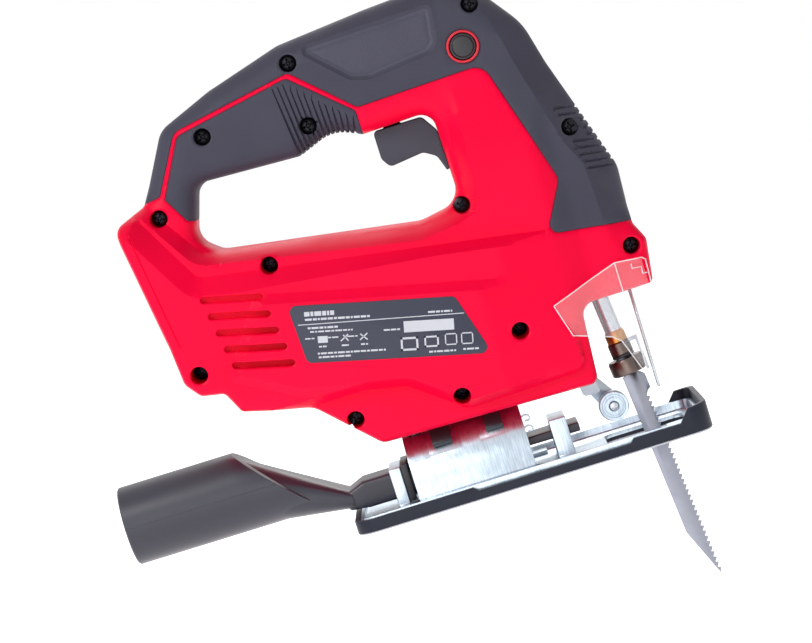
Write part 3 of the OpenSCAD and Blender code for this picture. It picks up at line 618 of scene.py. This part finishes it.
def closedSkin(name, flat, faces, front, back, side, groove):
    # front and back surfaces over the same triangles, joined round every free edge
    used = np.unique(faces)
    index = np.full(len(flat), -1)
    index[used] = np.arange(len(used))
    faces = index[faces]
    flat, front, back, groove = flat[used], front[used], back[used], groove[used]
    count = len(used)
    backFlat = flat.copy()
    vertices = [(p[0], side * h, p[1]) for p, h in zip(flat, front)]
    directed = {(f[k], f[(k + 1) % 3]): True for f in faces for k in range(3)}
    rim = [e for e in directed if (e[1], e[0]) not in directed]
    # at the parting plane the rim is pulled in a little, which draws the parting line
    middleRow = {}
    for k in (k for edge in rim for k in edge):
        if back[k] == 0 and front[k] > 1.2 and k not in middleRow:
            backFlat[k] = flat[k] + groove[k]
            middleRow[k] = len(vertices) + count + len(middleRow)
    vertices += [(p[0], side * h, p[1]) for p, h in zip(backFlat, back)]
    vertices += [(flat[k][0], side * 0.55, flat[k][1]) for k in middleRow]
    polygons = [tuple(f) for f in faces] + [tuple(f[::-1] + count) for f in faces]
    for a, b in rim:
        ma, mb = middleRow.get(a), middleRow.get(b)
        if ma is None and mb is None:
            polygons.append((b, a, a + count, b + count))
            continue
        polygons.append(tuple([b, a] + [k for k in (ma, mb) if k is not None]))
        polygons.append((b if mb is None else mb, a if ma is None else ma, a + count, b + count))
    if side > 0:
        polygons = [p[::-1] for p in polygons]
    return meshFrom(name, vertices, polygons, 27)


def makeHalf(left):
    s = shellSizes
    side, name = (1, "left") if left else (-1, "right")
    flat, faces, middle = triangulated(left)
    flat[:, 1] = np.minimum(flat[:, 1], s["top"])
    height, far = heights(flat, left)

    def uphill(key, probe=0.3):
        # the way in which the distance to that outline grows
        return np.stack([nearest(flat + way, bounds[key]) - nearest(flat - way, bounds[key])
                         for way in ([probe, 0], [0, probe])], 1)

    # how far the parting line pulls the outline in
    away = np.where((far["outer"] < -far["opening"])[:, None], uphill("outer"), -uphill("opening"))
    groove = s["partingGroove"] * away / (np.linalg.norm(away, axis=1)[:, None] + 1e-9)
    rimGap = np.minimum(far["outer"], -far["opening"])
    upper = nearest(middle, bounds["upperGrip"]) > 0
    rear = (nearest(middle, bounds["rearGrip"]) > 0) & ~upper
    inGrip = np.maximum(*(nearest(flat, bounds[key]) for key in ("upperGrip", "rearGrip")))
    core = np.where(inGrip > 0.3, np.maximum(height - s["gripLayer"], 0.6), height)
    back = np.maximum(core - s["wall"], 0.0)
    boss = np.full(len(flat), False)
    for spot in screwSpots:
        boss |= np.hypot(flat[:, 0] - spot[0], flat[:, 1] - spot[1]) < 5.6
    back[boss | (rimGap < s["wall"])] = 0.0
    for line, depth in pockets:
        d = nearest(flat, line)
        back[(d > -s["wall"]) & (d <= 0)] = 0.0
        back[d > 0] = np.minimum(depth, core[d > 0] - 0.8)
    back = np.maximum(np.minimum(back, core - 0.5), 0.0)
    back[back < 0.25] = 0.0
    # the hard core runs on under the rubber, a layer's thickness inside it
    coreFaces = ~(upper | rear) | (np.minimum(nearest(middle, bounds["outer"]),
                                              -nearest(middle, bounds["opening"])) > s["gripLayer"])
    shell = closedSkin(name + "Shell", flat, faces[coreFaces], core, back, side, groove)
    newPiece(name + "Shell", shell, redNylon, "housing", name + "_housing")
    under = np.where(rimGap < s["gripLayer"], 0.0, np.maximum(height - s["gripLayer"] + 0.12, 0.0))
    for line, depth in pockets[4:]:
        d = nearest(flat, line)
        under[d > 0] = np.minimum(np.maximum(under[d > 0], depth), height[d > 0] - 0.5)
    for label, chosen, node in (("UpperGrip", upper, "_upper_grip"), ("RearGrip", rear, "_rear_grip")):
        mesh = closedSkin(name + label, flat, faces[chosen], height, under, side, groove)
        mesh.materials.append(softRubber)
        mesh.materials.append(etchedRubber)
        if label == "UpperGrip":
            # the pad for the thumb is etched
            centre = np.array([p.center for p in mesh.polygons])[:, [0, 2]] / mm
            inPad = nearest(centre, bounds["thumbPad"]) > 1.7
            mesh.polygons.foreach_set("material_index", inPad.astype(np.int32))
        newPiece(name + label, mesh, None, "housing", name + node)
    print(name, "half:", len(flat), "points,", len(faces), "faces a side")


makeHalf(False)
makeHalf(True)


def treeWith(name, inputs):
    tree = bpy.data.node_groups.new(name, "GeometryNodeTree")
    tree.interface.new_socket("Geometry", in_out="INPUT", socket_type="NodeSocketGeometry")
    for label, kind in inputs:
        tree.interface.new_socket(label, in_out="INPUT", socket_type="NodeSocket" + kind)
    tree.interface.new_socket("Geometry", in_out="OUTPUT", socket_type="NodeSocketGeometry")
    return tree, addNode(tree, "NodeGroupInput").outputs, addNode(tree, "NodeGroupOutput").inputs


def closeTree(tree, given, result, shape):
    # every tree ends in plain geometry with its material
    plain = addNode(tree, "GeometryNodeRealizeInstances", {}, {0: shape})
    finish = addNode(tree, "GeometryNodeSetMaterial", {},
                     {0: plain.outputs[0], "Material": given["Finish"]})
    tree.links.new(finish.outputs[0], result[0])
    return tree


def copiesTree():
    # sets one copy of an object on each point, turned as the point's "aim" says
    tree, given, result = treeWith("placeCopies", [("Copy", "Object"), ("Size", "Float"),
                                   ("Turn Spread", "Float"), ("Seed", "Int"), ("Finish", "Material")])
    shape = addNode(tree, "GeometryNodeObjectInfo", {}, {"Object": given["Copy"]})
    aim = addNode(tree, "GeometryNodeInputNamedAttribute", {"data_type": "FLOAT_VECTOR", "Name": "aim"})
    copies = addNode(tree, "GeometryNodeInstanceOnPoints", {}, {
        "Points": given["Geometry"], "Instance": shape.outputs["Geometry"],
        "Rotation": aim.outputs[0], "Scale": given["Size"]})
    turn = addNode(tree, "FunctionNodeRandomValue", {"data_type": "FLOAT", 2: 0.0},
                   {3: given["Turn Spread"], "Seed": given["Seed"]})
    spin = addNode(tree, "ShaderNodeCombineXYZ", {}, {"Z": turn.outputs[1]})
    spun = addNode(tree, "GeometryNodeRotateInstances", {}, {
        "Instances": copies.outputs[0], "Rotation": spin.outputs[0]})
    return closeTree(tree, given, result, spun.outputs[0])


def barsTree():
    # sweeps a round bar along every line of a mesh
    tree, given, result = treeWith("sweepBars", [("Bar Radius", "Float"), ("Sides", "Int"),
                                                 ("Finish", "Material")])
    path = addNode(tree, "GeometryNodeMeshToCurve", {}, {0: given["Geometry"]})
    section = addNode(tree, "GeometryNodeCurvePrimitiveCircle", {}, {
        "Resolution": given["Sides"], "Radius": given["Bar Radius"]})
    bars = addNode(tree, "GeometryNodeCurveToMesh", {"Fill Caps": True},
                   {"Curve": path.outputs[0], "Profile Curve": section.outputs[0]})
    return closeTree(tree, given, result, bars.outputs[0])


placeCopies, sweepBars = copiesTree(), barsTree()


def grown(name, mesh, tree, values):
    # runs one of the trees on a mesh; each input is set by its identifier
    def put(holder):
        modifier = holder.modifiers.new(name, "NODES")
        modifier.node_group = tree
        for item in tree.interface.items_tree:
            if item.item_type == "SOCKET" and item.in_out == "INPUT" and item.name in values:
                modifier[item.identifier] = values[item.name]
    return baked(name, mesh, put)


def bars(name, paths, radius, material, body, *nodes, sides=10):
    vertices, edges = [], []
    for path in paths:
        edges += [(len(vertices) + k, len(vertices) + k + 1) for k in range(len(path) - 1)]
        vertices += [tuple(Vector(p) * mm) for p in path]
    mesh = bpy.data.meshes.new(name)
    mesh.from_pydata(vertices, edges, [])
    swept = grown(name, mesh, sweepBars,
                  {"Bar Radius": radius * mm, "Sides": sides, "Finish": material})
    return newPiece(name, swept, material, body, *nodes)


# screw heads with a cross slot; the seed turns each one its own way
screwSizes = {"radius": 3.55, "height": 2.3, "dome": 0.7, "armLength": 2.1, "armWidth": 0.5,
              "slotDepth": 1.3, "turnSpread": 1.5, "seed": 7}


def screwHead():
    s = screwSizes
    rings, around = [0.3, 0.7, 1.1, 1.5, 1.9, 2.3, 2.7, 3.1, 3.4, s["radius"]], 48
    vertices, faces = [(0, 0, s["height"] - s["slotDepth"])], []
    for r in rings:
        for k in range(around):
            x, y = r * spoke(2 * math.pi * k / around)
            u, v = sorted((abs(x), abs(y)))
            arm = s["armWidth"] * (1 - 0.35 * v / s["armLength"])
            inside = max(0, min(1, (arm - u) / 0.18)) * max(0, min(1, (s["armLength"] - v) / 0.4))
            top = s["height"] - s["dome"] * (r / s["radius"]) ** 2.6
            vertices.append((x, y, top - s["slotDepth"] * inside))
    vertices += [(x, y, 0) for x, y, z in vertices[-around:]]
    faces += [(0, 1 + k, 1 + (k + 1) % around) for k in range(around)]
    faces += [f[::-1] for f in ringFaces(1, len(rings) + 1, around)]
    faces.append(tuple(range(len(vertices) - 1, len(vertices) - 1 - around, -1)))
    head = bpy.data.objects.new("screwHead", meshFrom("screwHead", vertices, faces, 32))
    scene.collection.objects.link(head)
    return head


def makeScrews():
    head = screwHead()
    mesh = bpy.data.meshes.new("screwSeats")
    mesh.from_pydata([(x * mm, -shellSizes["headDepth"] * mm, z * mm) for x, z in screwSpots], [], [])
    aim = mesh.attributes.new("aim", "FLOAT_VECTOR", "POINT")
    for item in aim.data:
        item.vector = (math.pi / 2, 0, 0)
    made = grown("shellScrews", mesh, placeCopies, {
        "Copy": head, "Size": 1.0, "Turn Spread": screwSizes["turnSpread"],
        "Seed": screwSizes["seed"], "Finish": screwSteel})
    bpy.data.objects.remove(head)
    newPiece("shellScrews", made, screwSteel, "housing", "housing_screws")


makeScrews()
print("screws placed")


def softCopy(node, material, bevel, segments=2, change=None):
    # where the CAD shape is right: a merged copy with soft edges
    source = frame["nodes"][node]
    work = bmesh.new()
    work.from_mesh(source.data)
    bmesh.ops.remove_doubles(work, verts=work.verts, dist=0.00002)
    bmesh.ops.dissolve_limit(work, angle_limit=math.radians(0.6), verts=work.verts, edges=work.edges)
    if change:
        change(work)
    mesh = bpy.data.meshes.new(node + "Soft")
    work.to_mesh(mesh)
    work.free()
    mesh.materials.clear()
    mesh.materials.append(material)

    def roundEdges(holder):
        edge = holder.modifiers.new("edges", "BEVEL")
        edge.width, edge.segments, edge.limit_method = bevel * mm, segments, "ANGLE"
        edge.angle_limit, edge.use_clamp_overlap = math.radians(30), True
    newPiece(node + "Soft", baked(node + "Soft", mesh, roundEdges), material, source["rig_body"], node)


softPieces = {
    "trigger": (leverAcetal, 1.6, 4), "lock_button": (blackAbs, 0.7, 3),
    "button_ring": (ringNylon, 0.25, 2), "terminal_block": (blackAbs, 0.4, 2),
    "selector_knob": (blackAbs, 0.9, 3), "saddle_lugs": (blackAbs, 0.35, 2),
    "chip_guard": (polycarbonate, 0.35, 2),
    "seal_ring": (blackAbs, 0.3, 2), "ejector_strip": (springSteel, 0.2, 2),
    "plunger_rod": (pinSteel, 0.5, 2), "pendulum_arm": (springSteel, 0.4, 2),
    "roller_pin": (pinSteel, 0.3, 2),
    "glide_shoe": (shoeNylon, 1.3, 4), "sole_strip": (labelInk, 0.25, 2),
    "base_plate": (zincSheet, 0.5, 2), "tunnel_bracket": (zincSheet, 0.5, 3),
    "rear_clip": (zincSheet, 2.4, 5), "front_clip": (zincSheet, 2.4, 5),
    "tube_gasket": (blackAbs, 0.5, 2), "clamp_bolts": (pinSteel, 0.3, 2),
    "clamp_strip": (zincSheet, 0.3, 2),
    "rating_label": (labelFilm, 0.12, 2), "wire_guard": (pinSteel, 0.1, 1),
}
for node, (material, bevel, segments) in softPieces.items():
    softCopy(node, material, bevel, segments)
print("soft-edged pieces:", len(softPieces))

driveSizes = {"lean": 5.4, "axisX": 59.7, "bladeHalf": 4.3, "toothPitch": 2.6, "set": 0.32}


def driveLocal(p):
    # a point in the frame of the stroke axis: forward, across, up, in mm
    turn = math.radians(driveSizes["lean"])
    x, z = p.x / mm - driveSizes["axisX"], p.z / mm
    return (x * math.cos(turn) + z * math.sin(turn), p.y / mm,
            -x * math.sin(turn) + z * math.cos(turn))


def setTeeth(work):
    # tooth tips lean left and right by turns, as a saw's do
    for v in work.verts:
        forward, across, upward = driveLocal(v.co)
        if forward > driveSizes["bladeHalf"] - 0.4 and upward < 21:
            tooth = round((upward + 68) / driveSizes["toothPitch"])
            v.co.y += (driveSizes["set"] if tooth % 2 else -driveSizes["set"]) * mm


softCopy("saw_blade", bladeSteel, 0.12, 1, setTeeth)


def revolved(name, profile, put, material, body, *nodes, around=72):
    # a closed profile of [radius, height] pairs turned about an axis
    vertices, faces, count = [], [], len(profile)
    for k in range(around):
        a = 2 * math.pi * k / around
        vertices += [put(r * math.cos(a), r * math.sin(a), h) for r, h in profile]
    for k in range(around):
        for i in range(count):
            j, m = (i + 1) % count, (k + 1) % around
            faces.append((k * count + i, k * count + j, m * count + j, m * count + i))
    mesh = meshFrom(name, vertices, faces, 28)
    work = bmesh.new()
    work.from_mesh(mesh)
    bmesh.ops.recalc_face_normals(work, faces=work.faces)
    work.to_mesh(mesh)
    work.free()
    return newPiece(name, mesh, material, body, *nodes)


def onDrive(forward, across, upward):
    # from the frame of the stroke axis to the tool's
    turn = math.radians(driveSizes["lean"])
    return (driveSizes["axisX"] + forward * math.cos(turn) - upward * math.sin(turn), across,
            forward * math.sin(turn) + upward * math.cos(turn))


# guide roller: turned steel with a raised rim and hub, and a groove for the blade's back
roller = {"place": (45, 18.8), "profile": [
    (2.12, -3.0), (2.5, -3.4), (4.1, -3.4), (4.35, -3.15), (5.2, -3.15), (5.45, -3.5), (6.5, -3.6),
    (6.9, -3.2), (6.9, -1.1), (6.6, -0.9), (4.7, -0.7), (4.7, 0.7), (6.6, 0.9), (6.9, 1.1),
    (6.9, 3.2), (6.5, 3.6), (2.5, 3.6), (2.12, 3.2)]}
revolved("guideRoller", roller["profile"],
         lambda a, b, h: (roller["place"][0] + a, h, roller["place"][1] + b),
         zincSheet, "roller", "support_roller")

# blade clamp: a turned collar, the sleeve above it and a brass spring seat; the collar's slit is not
# cut but drawn as a thin black bar on its surface, painted shade of the gap
clamp = {"collar": [(4.25, 31.3), (7.5, 31.3), (8.2, 31.9), (8.2, 37.5), (7.7, 38.5), (4.25, 38.5)],
         "sleeve": [(3.1, 40.7), (5.0, 40.7), (5.2, 40.9), (5.2, 46.0), (4.8, 46.5), (3.1, 46.5)],
         "seat": [(3.0, 46.7), (4.7, 46.7), (4.7, 50.4), (4.0, 52.1), (3.0, 52.1)],
         "slitPlace": (3.6, -7.25)}
revolved("turnedCollar", clamp["collar"], onDrive, collarSteel, "collar", "clamp_collar")
revolved("clampSleeve", clamp["sleeve"], onDrive, collarSteel, "plunger", "blade_holder")
revolved("springSeat", clamp["seat"], onDrive, brass, "plunger", "clamp_spring")
# painted shade: a bar in the black ABS finish stands for the dark inside the collar's slit
bars("collarSlit", [[onDrive(*clamp["slitPlace"], h) for h in (31.9, 37.9)]], 0.38, blackAbs,
     "collar", sides=8)

# hose end: a round socket cut off on the slant, a throat that narrows out of it, then the flat
# channel that goes forward through the tunnel
hose = {"rear": -184, "radius": 18.3, "bore": 16, "height": 31.4, "boreEnd": -131,
        "cutTop": (-129, 49.7), "cutFoot": (-93, 13.1), "around": 96,
        # place along the tube, foot, top and half width of each ring of the flat channel
        "channel": [[(-84, 9.6, 16.5, 11.2), (-83.2, 9.0, 17.6, 11.8), (-76, 8.3, 20.6, 12),
                     (-75, 8, 21, 12), (0, 8, 21, 12), (1.6, 8, 21, 12), (2, 8.4, 20.6, 11.6)],
                    [(1, 13.6, 17.8, 11.6), (26.5, 13.4, 18, 12), (27, 13.8, 17.6, 11.6)]]}


def hoseEnd():
    vertices, faces, around = [], [], hose["around"]
    slant = (hose["cutFoot"][0] - hose["cutTop"][0]) / (hose["cutTop"][1] - hose["cutFoot"][1])

    def skin(rings):
        # closes a row of rings into one skin, with a lid at each end
        base = len(vertices)
        for ring in rings:
            vertices.extend(ring)
        faces.extend(ringFaces(base, len(rings), around))
        faces.append(tuple(base + k for k in range(around - 1, -1, -1)))
        faces.append(tuple(base + (len(rings) - 1) * around + k for k in range(around)))

    def ring(x, low, high, half, power=2.0, slanted=0.0):
        # a round or squarish ring across the tube, leaned over to the slanted cut by some part
        points = []
        for k in range(around):
            c, t = spoke(2 * math.pi * k / around)
            z = (low + high) / 2 + (high - low) / 2 * math.copysign(abs(t) ** (2 / power), t)
            shift = slanted * (hose["cutTop"][0] + (hose["cutTop"][1] - z) * slant - x)
            points.append((x + shift, half * math.copysign(abs(c) ** (2 / power), c), z))
        return points

    def circle(x, radius, slanted=0.0):
        return ring(x, hose["height"] - radius, hose["height"] + radius, radius, 2.0, slanted)

    rear, r = hose["rear"], hose["radius"]
    skin([circle(hose["boreEnd"], hose["bore"]), circle(rear + 0.6, hose["bore"]),
          circle(rear, hose["bore"] + 0.5), circle(rear, r - 0.7), circle(rear + 0.7, r),
          circle(-160, r), circle(-140, r), circle(-131, r), circle(-130, r - 0.02, 0.93),
          circle(-130, r - 0.15, 0.985), circle(-130, r - 0.6, 1.0)])
    throat = []
    for t in np.linspace(0, 1, 17):
        x = -131 + 50 * t
        high = 47.0 - 29.2 * max(0, (x + 127) / 46)
        throat.append(ring(x, 15.4 - 6.0 * t, high, 16.0 - 3.4 * t, 2.0 + 1.6 * t * t))
    skin(throat)
    for stretch in hose["channel"]:
        skin([ring(*place, 7.0) for place in stretch])
    return meshFrom("hoseEnd", vertices, faces, 28)


newPiece("hoseEnd", hoseEnd(), hosePolypropylene, "hose_adapter", "dust_tube")
bars("hoseSeam", [[(-183.6, -18.25, 32.2), (-112.4, -18.25, 32.2)]], 0.22, hosePolypropylene,
     "hose_adapter", sides=8)

# chip guard: the bright edges of the sheet, its fold, and the clip that holds it at the front; their
# white is partly painted highlight
guardLine = [(31.5, 73), (63.3, 83), (75.8, 81.7), (77.3, 80.3), (76.6, 66), (71.0, 31.6),
             (69.4, 30.9), (63.6, 32.5), (61.4, 34), (56.3, 48.4), (52.6, 51.5), (37.6, 57.2),
             (36, 57.6), (31.9, 71.6), (31.5, 73)]


def onGuard(x, z):
    return (x, -float(np.interp(x, [30, 40, 52, 74, 78], [30.3, 27.9, 23.1, 22.0, 18.1])), z)


# the edge bars' white is partly painted highlight of the sheet's lit outline
bars("guardEdges", [[onGuard(x, z) for x, z in sampled([[*p, 0] for p in guardLine[:-1]], 2.0)]
                    + [onGuard(*guardLine[0])],
                    [onGuard(63.3, z) for z in (83, 68)], [onGuard(63.5, z) for z in (68, 33)],
                    [onGuard(70.4, 80.4), onGuard(70.2, 78.2), onGuard(74.4, 77.8),
                     onGuard(74.2, 74.6), onGuard(76.2, 74.4)]],
     0.28, sheetEdgeHighlight, "housing", sides=8)


# small wire hooks at the front of the tunnel
bars("springHooks", [[(1.5, -y, z), (4.6, -y, z + 0.9), (6.2, -y, z + 0.3), (6.6, -y, z - 1.0),
                      (5.8, -y, z - 1.9), (4.0, -y, z - 1.8)] for y, z in ((12.5, 27.4), (16.6, 22.8))],
     0.5, zincSheet, "base", "spring_hook", sides=10)


# covers inside the tunnel's tilt slots; they stay with the housing
covers = {"inner": 19.62, "outer": 19.9, "centre": 14, "ends": ((-50.2, -41.8), (-26.2, -17.8)),
          "firstAngle": 16, "sweep": 48, "rings": 25}


def slotCovers():
    vertices, faces, count = [], [], covers["rings"]
    inner, outer = covers["inner"], covers["outer"]
    for start, end in covers["ends"]:
        for side in (-1, 1):
            base = len(vertices)
            for i in range(count):
                up, out = spoke(math.radians(covers["firstAngle"] + covers["sweep"] * i / (count - 1)))
                for radius, x in ((inner, start), (inner, end), (outer, end), (outer, start)):
                    vertices.append((x, side * radius * out, covers["centre"] + radius * up))
            last = base + (count - 1) * 4
            part = [(base, base + 1, base + 2, base + 3), (last + 3, last + 2, last + 1, last)]
            part += [f[::-1] for f in ringFaces(base, count, 4)]
            faces += [f[::-1] for f in part] if side > 0 else part
    newPiece("slotCovers", meshFrom("slotCovers", vertices, faces), zincSheet, "housing")


slotCovers()

# inner works keep their CAD mesh and take a finish
innerFinishes = {
    blackAbs: "switch_body motor_end_cap motor_fan", motorSteel: "motor_can armature_core",
    ferrite: "motor_magnets", castZinc: "gearbox_frame", sinteredBronze: "plunger_bushes",
    pinSteel: "motor_bearings gear_pin pendulum_pin motor_shaft crank_pin",
    gearSteel: "selector_cam pinion gear_wheel scotch_yoke", copper: "commutator",
}
for material, nodes in innerFinishes.items():
    for node in nodes.split():
        for held in frame["nodes"][node].material_slots:
            held.material = material

# the rating plate's plain marks, in mm from its top left corner: no lettering
plate = {
    "corner": (-82.2, 108.6), "along": (72.7, -17.8), "face": 34.4, "ink": 0.07,
    # place, length, height and first dash of each line of print
    "words": [(7.4, 3.0, 13.4, 2.0, 0), (7.6, 6.0, 30, 0.95, 2), (8.6, 9.9, 13.5, 0.9, 1),
              (9.6, 11.7, 19, 0.7, 3), (7.2, 14.7, 4.6, 0.6, 0), (17.4, 14.7, 4.6, 0.6, 1),
              (26.0, 14.7, 4.6, 0.6, 2), (13.1, 18.5, 3.4, 0.7, 1), (23.3, 18.5, 3.4, 0.7, 2),
              (31.9, 18.5, 3.4, 0.7, 3), (12.4, 21.5, 31, 0.8, 4), (12.7, 23.2, 15, 0.8, 1),
              (62.6, 5.9, 10.8, 0.85, 2), (42.4, 12.8, 7.4, 0.75, 5), (62, 23.7, 12, 0.8, 3),
              (77.2, 23.4, 7.6, 0.8, 1)],
    "dashes": (2.4, 1.3, 3.1, 1.8, 0.9, 2.7), "gap": 0.42,
    # place, length and height
    "blocks": [(12.8, 14.2, 4.4, 3.0), (51.4, 9.8, 22.4, 5.0)],
    # place, length, height and width of the line
    "frames": [(49.6, 17, 7.8, 6.0, 0.9), (60.2, 17, 6.4, 5.0, 0.75), (69.4, 16.4, 5.4, 5.2, 0.5),
               (76.6, 16.4, 5.4, 5.2, 0.5)],
    # both ends and half the width; the first one runs right across
    "strokes": [((4.4, 8.7), (78.6, 7.7), 0.19), ((23, 16.9), (26.4, 14), 0.28),
                ((24.2, 14.2), (26.4, 16.9), 0.28), ((31.6, 16.9), (35, 14), 0.28),
                ((31.8, 14.2), (35, 16.9), 0.28)],
}


def plateMarks():
    corner, along = np.array(plate["corner"]), np.array(plate["along"])
    along = along / np.linalg.norm(along)
    down = np.array([along[1], -along[0]])
    vertices, faces = [], []

    def block(points):
        base = len(vertices)
        for y in (plate["face"] - 0.05, plate["face"] + plate["ink"]):
            for u, v in points:
                spot = corner + along * u + down * v
                vertices.append((spot[0], -y, spot[1]))
        n = len(points)
        faces.append(tuple(base + k for k in range(n)))
        faces.append(tuple(base + n + k for k in range(n - 1, -1, -1)))
        for k in range(n):
            faces.append((base + (k + 1) % n, base + k, base + n + k, base + n + (k + 1) % n))

    def rect(u, v, wide, high):
        block([(u, v), (u + wide, v), (u + wide, v + high), (u, v + high)])

    for u, v, wide, high in plate["blocks"]:
        rect(u, v, wide, high)
    for u, v, wide, high, line in plate["frames"]:
        for piece in ((u, v, wide, line), (u, v + high - line, wide, line), (u, v, line, high),
                      (u + wide - line, v, line, high)):
            rect(*piece)
    for u, v, wide, high, k in plate["words"]:
        done = 0.0
        while done < wide - 0.6:
            dash = min(plate["dashes"][k % 6], wide - done)
            rect(u + done, v, dash, high)
            done, k = done + dash + plate["gap"], k + 1
    for a, b, half in plate["strokes"]:
        a, b = np.array(a), np.array(b)
        off = directions(a, b)[1] * half
        block([a - off, b - off, b + off, a + off])
    newPiece("plateMarks", meshFrom("plateMarks", vertices, faces), labelInk, "housing")


plateMarks()
print("plate marked")


def aimCamera():
    shot = {"place": (0.0, -1.369, 0.188), "tilt": 4.35, "turn": -1.44, "roll": 17.33, "lens": 133.2}
    tilt, turn, roll = (math.radians(shot[k]) for k in ("tilt", "turn", "roll"))
    ahead = Vector((math.sin(turn) * math.cos(tilt), math.cos(turn) * math.cos(tilt), -math.sin(tilt)))
    right = Vector((math.cos(turn), -math.sin(turn), 0))
    up = right.cross(ahead)
    across = right * math.cos(roll) - up * math.sin(roll)
    over = right * math.sin(roll) + up * math.cos(roll)
    data = bpy.data.cameras.new("studioCamera")
    data.lens, data.sensor_width = shot["lens"], 36
    camera = bpy.data.objects.new("studioCamera", data)
    scene.collection.objects.link(camera)
    camera.matrix_world = Matrix.Translation(shot["place"]) @ \
        Matrix((across, over, -ahead)).transposed().to_4x4()
    scene.camera = camera


room = {
    "floorHeight": -0.0712,      # m, a little below the lowest tooth
    "floorGlow": 0.8,            # keeps the board white round the shadow
    "seen": 1.0, "shed": 0.2,    # how bright the room looks, and how much light it sheds
    # place in m, width in m and power in W
    "lights": {"key": ((-1.0, -1.2, 1.3), 1.0, 24), "front": ((-0.4, -1.9, 0.3), 1.2, 5),
               "back": ((0.3, 1.2, 1.1), 1.2, 8)},
}


def studio():
    # a white board under a soft light
    mesh, z = bpy.data.meshes.new("floor"), room["floorHeight"]
    mesh.from_pydata([(-4, -1.1, z), (4, -1.1, z), (4, 3, z), (-4, 3, z)], [], [(0, 1, 2, 3)])
    material, tree, shader, place = startMaterial("paintedBoard", "#F6F6F7", 0.7)
    shader.inputs["Emission Color"].default_value = toLinear("#FFFFFF")
    shader.inputs["Emission Strength"].default_value = room["floorGlow"]
    mesh.materials.append(material)
    floor = bpy.data.objects.new("floor", mesh)
    scene.collection.objects.link(floor)
    # a white room that mirrors in metal, but sheds less light than it shows
    world = bpy.data.worlds.new("softRoom")
    scene.world = world
    world.use_nodes = True
    rays = addNode(world.node_tree, "ShaderNodeLightPath")
    glow = addNode(world.node_tree, "ShaderNodeMapRange",
                   {"To Min": room["seen"], "To Max": room["shed"]},
                   {"Value": rays.outputs["Is Diffuse Ray"]})
    world.node_tree.nodes["Background"].inputs[0].default_value = (1, 1, 1, 1)
    world.node_tree.links.new(glow.outputs[0], world.node_tree.nodes["Background"].inputs[1])
    for name, (place, size, power) in room["lights"].items():
        data = bpy.data.lights.new(name + "Light", "AREA")
        data.shape, data.size, data.energy = "DISK", size, power
        lamp = bpy.data.objects.new(name + "Light", data)
        scene.collection.objects.link(lamp)
        lamp.location = place
        toTool = Vector((-0.03, 0, 0.1)) - Vector(place)
        lamp.rotation_euler = toTool.to_track_quat("-Z", "Y").to_euler()
    scene.view_settings.view_transform = "Standard"


aimCamera()
studio()
print("done")
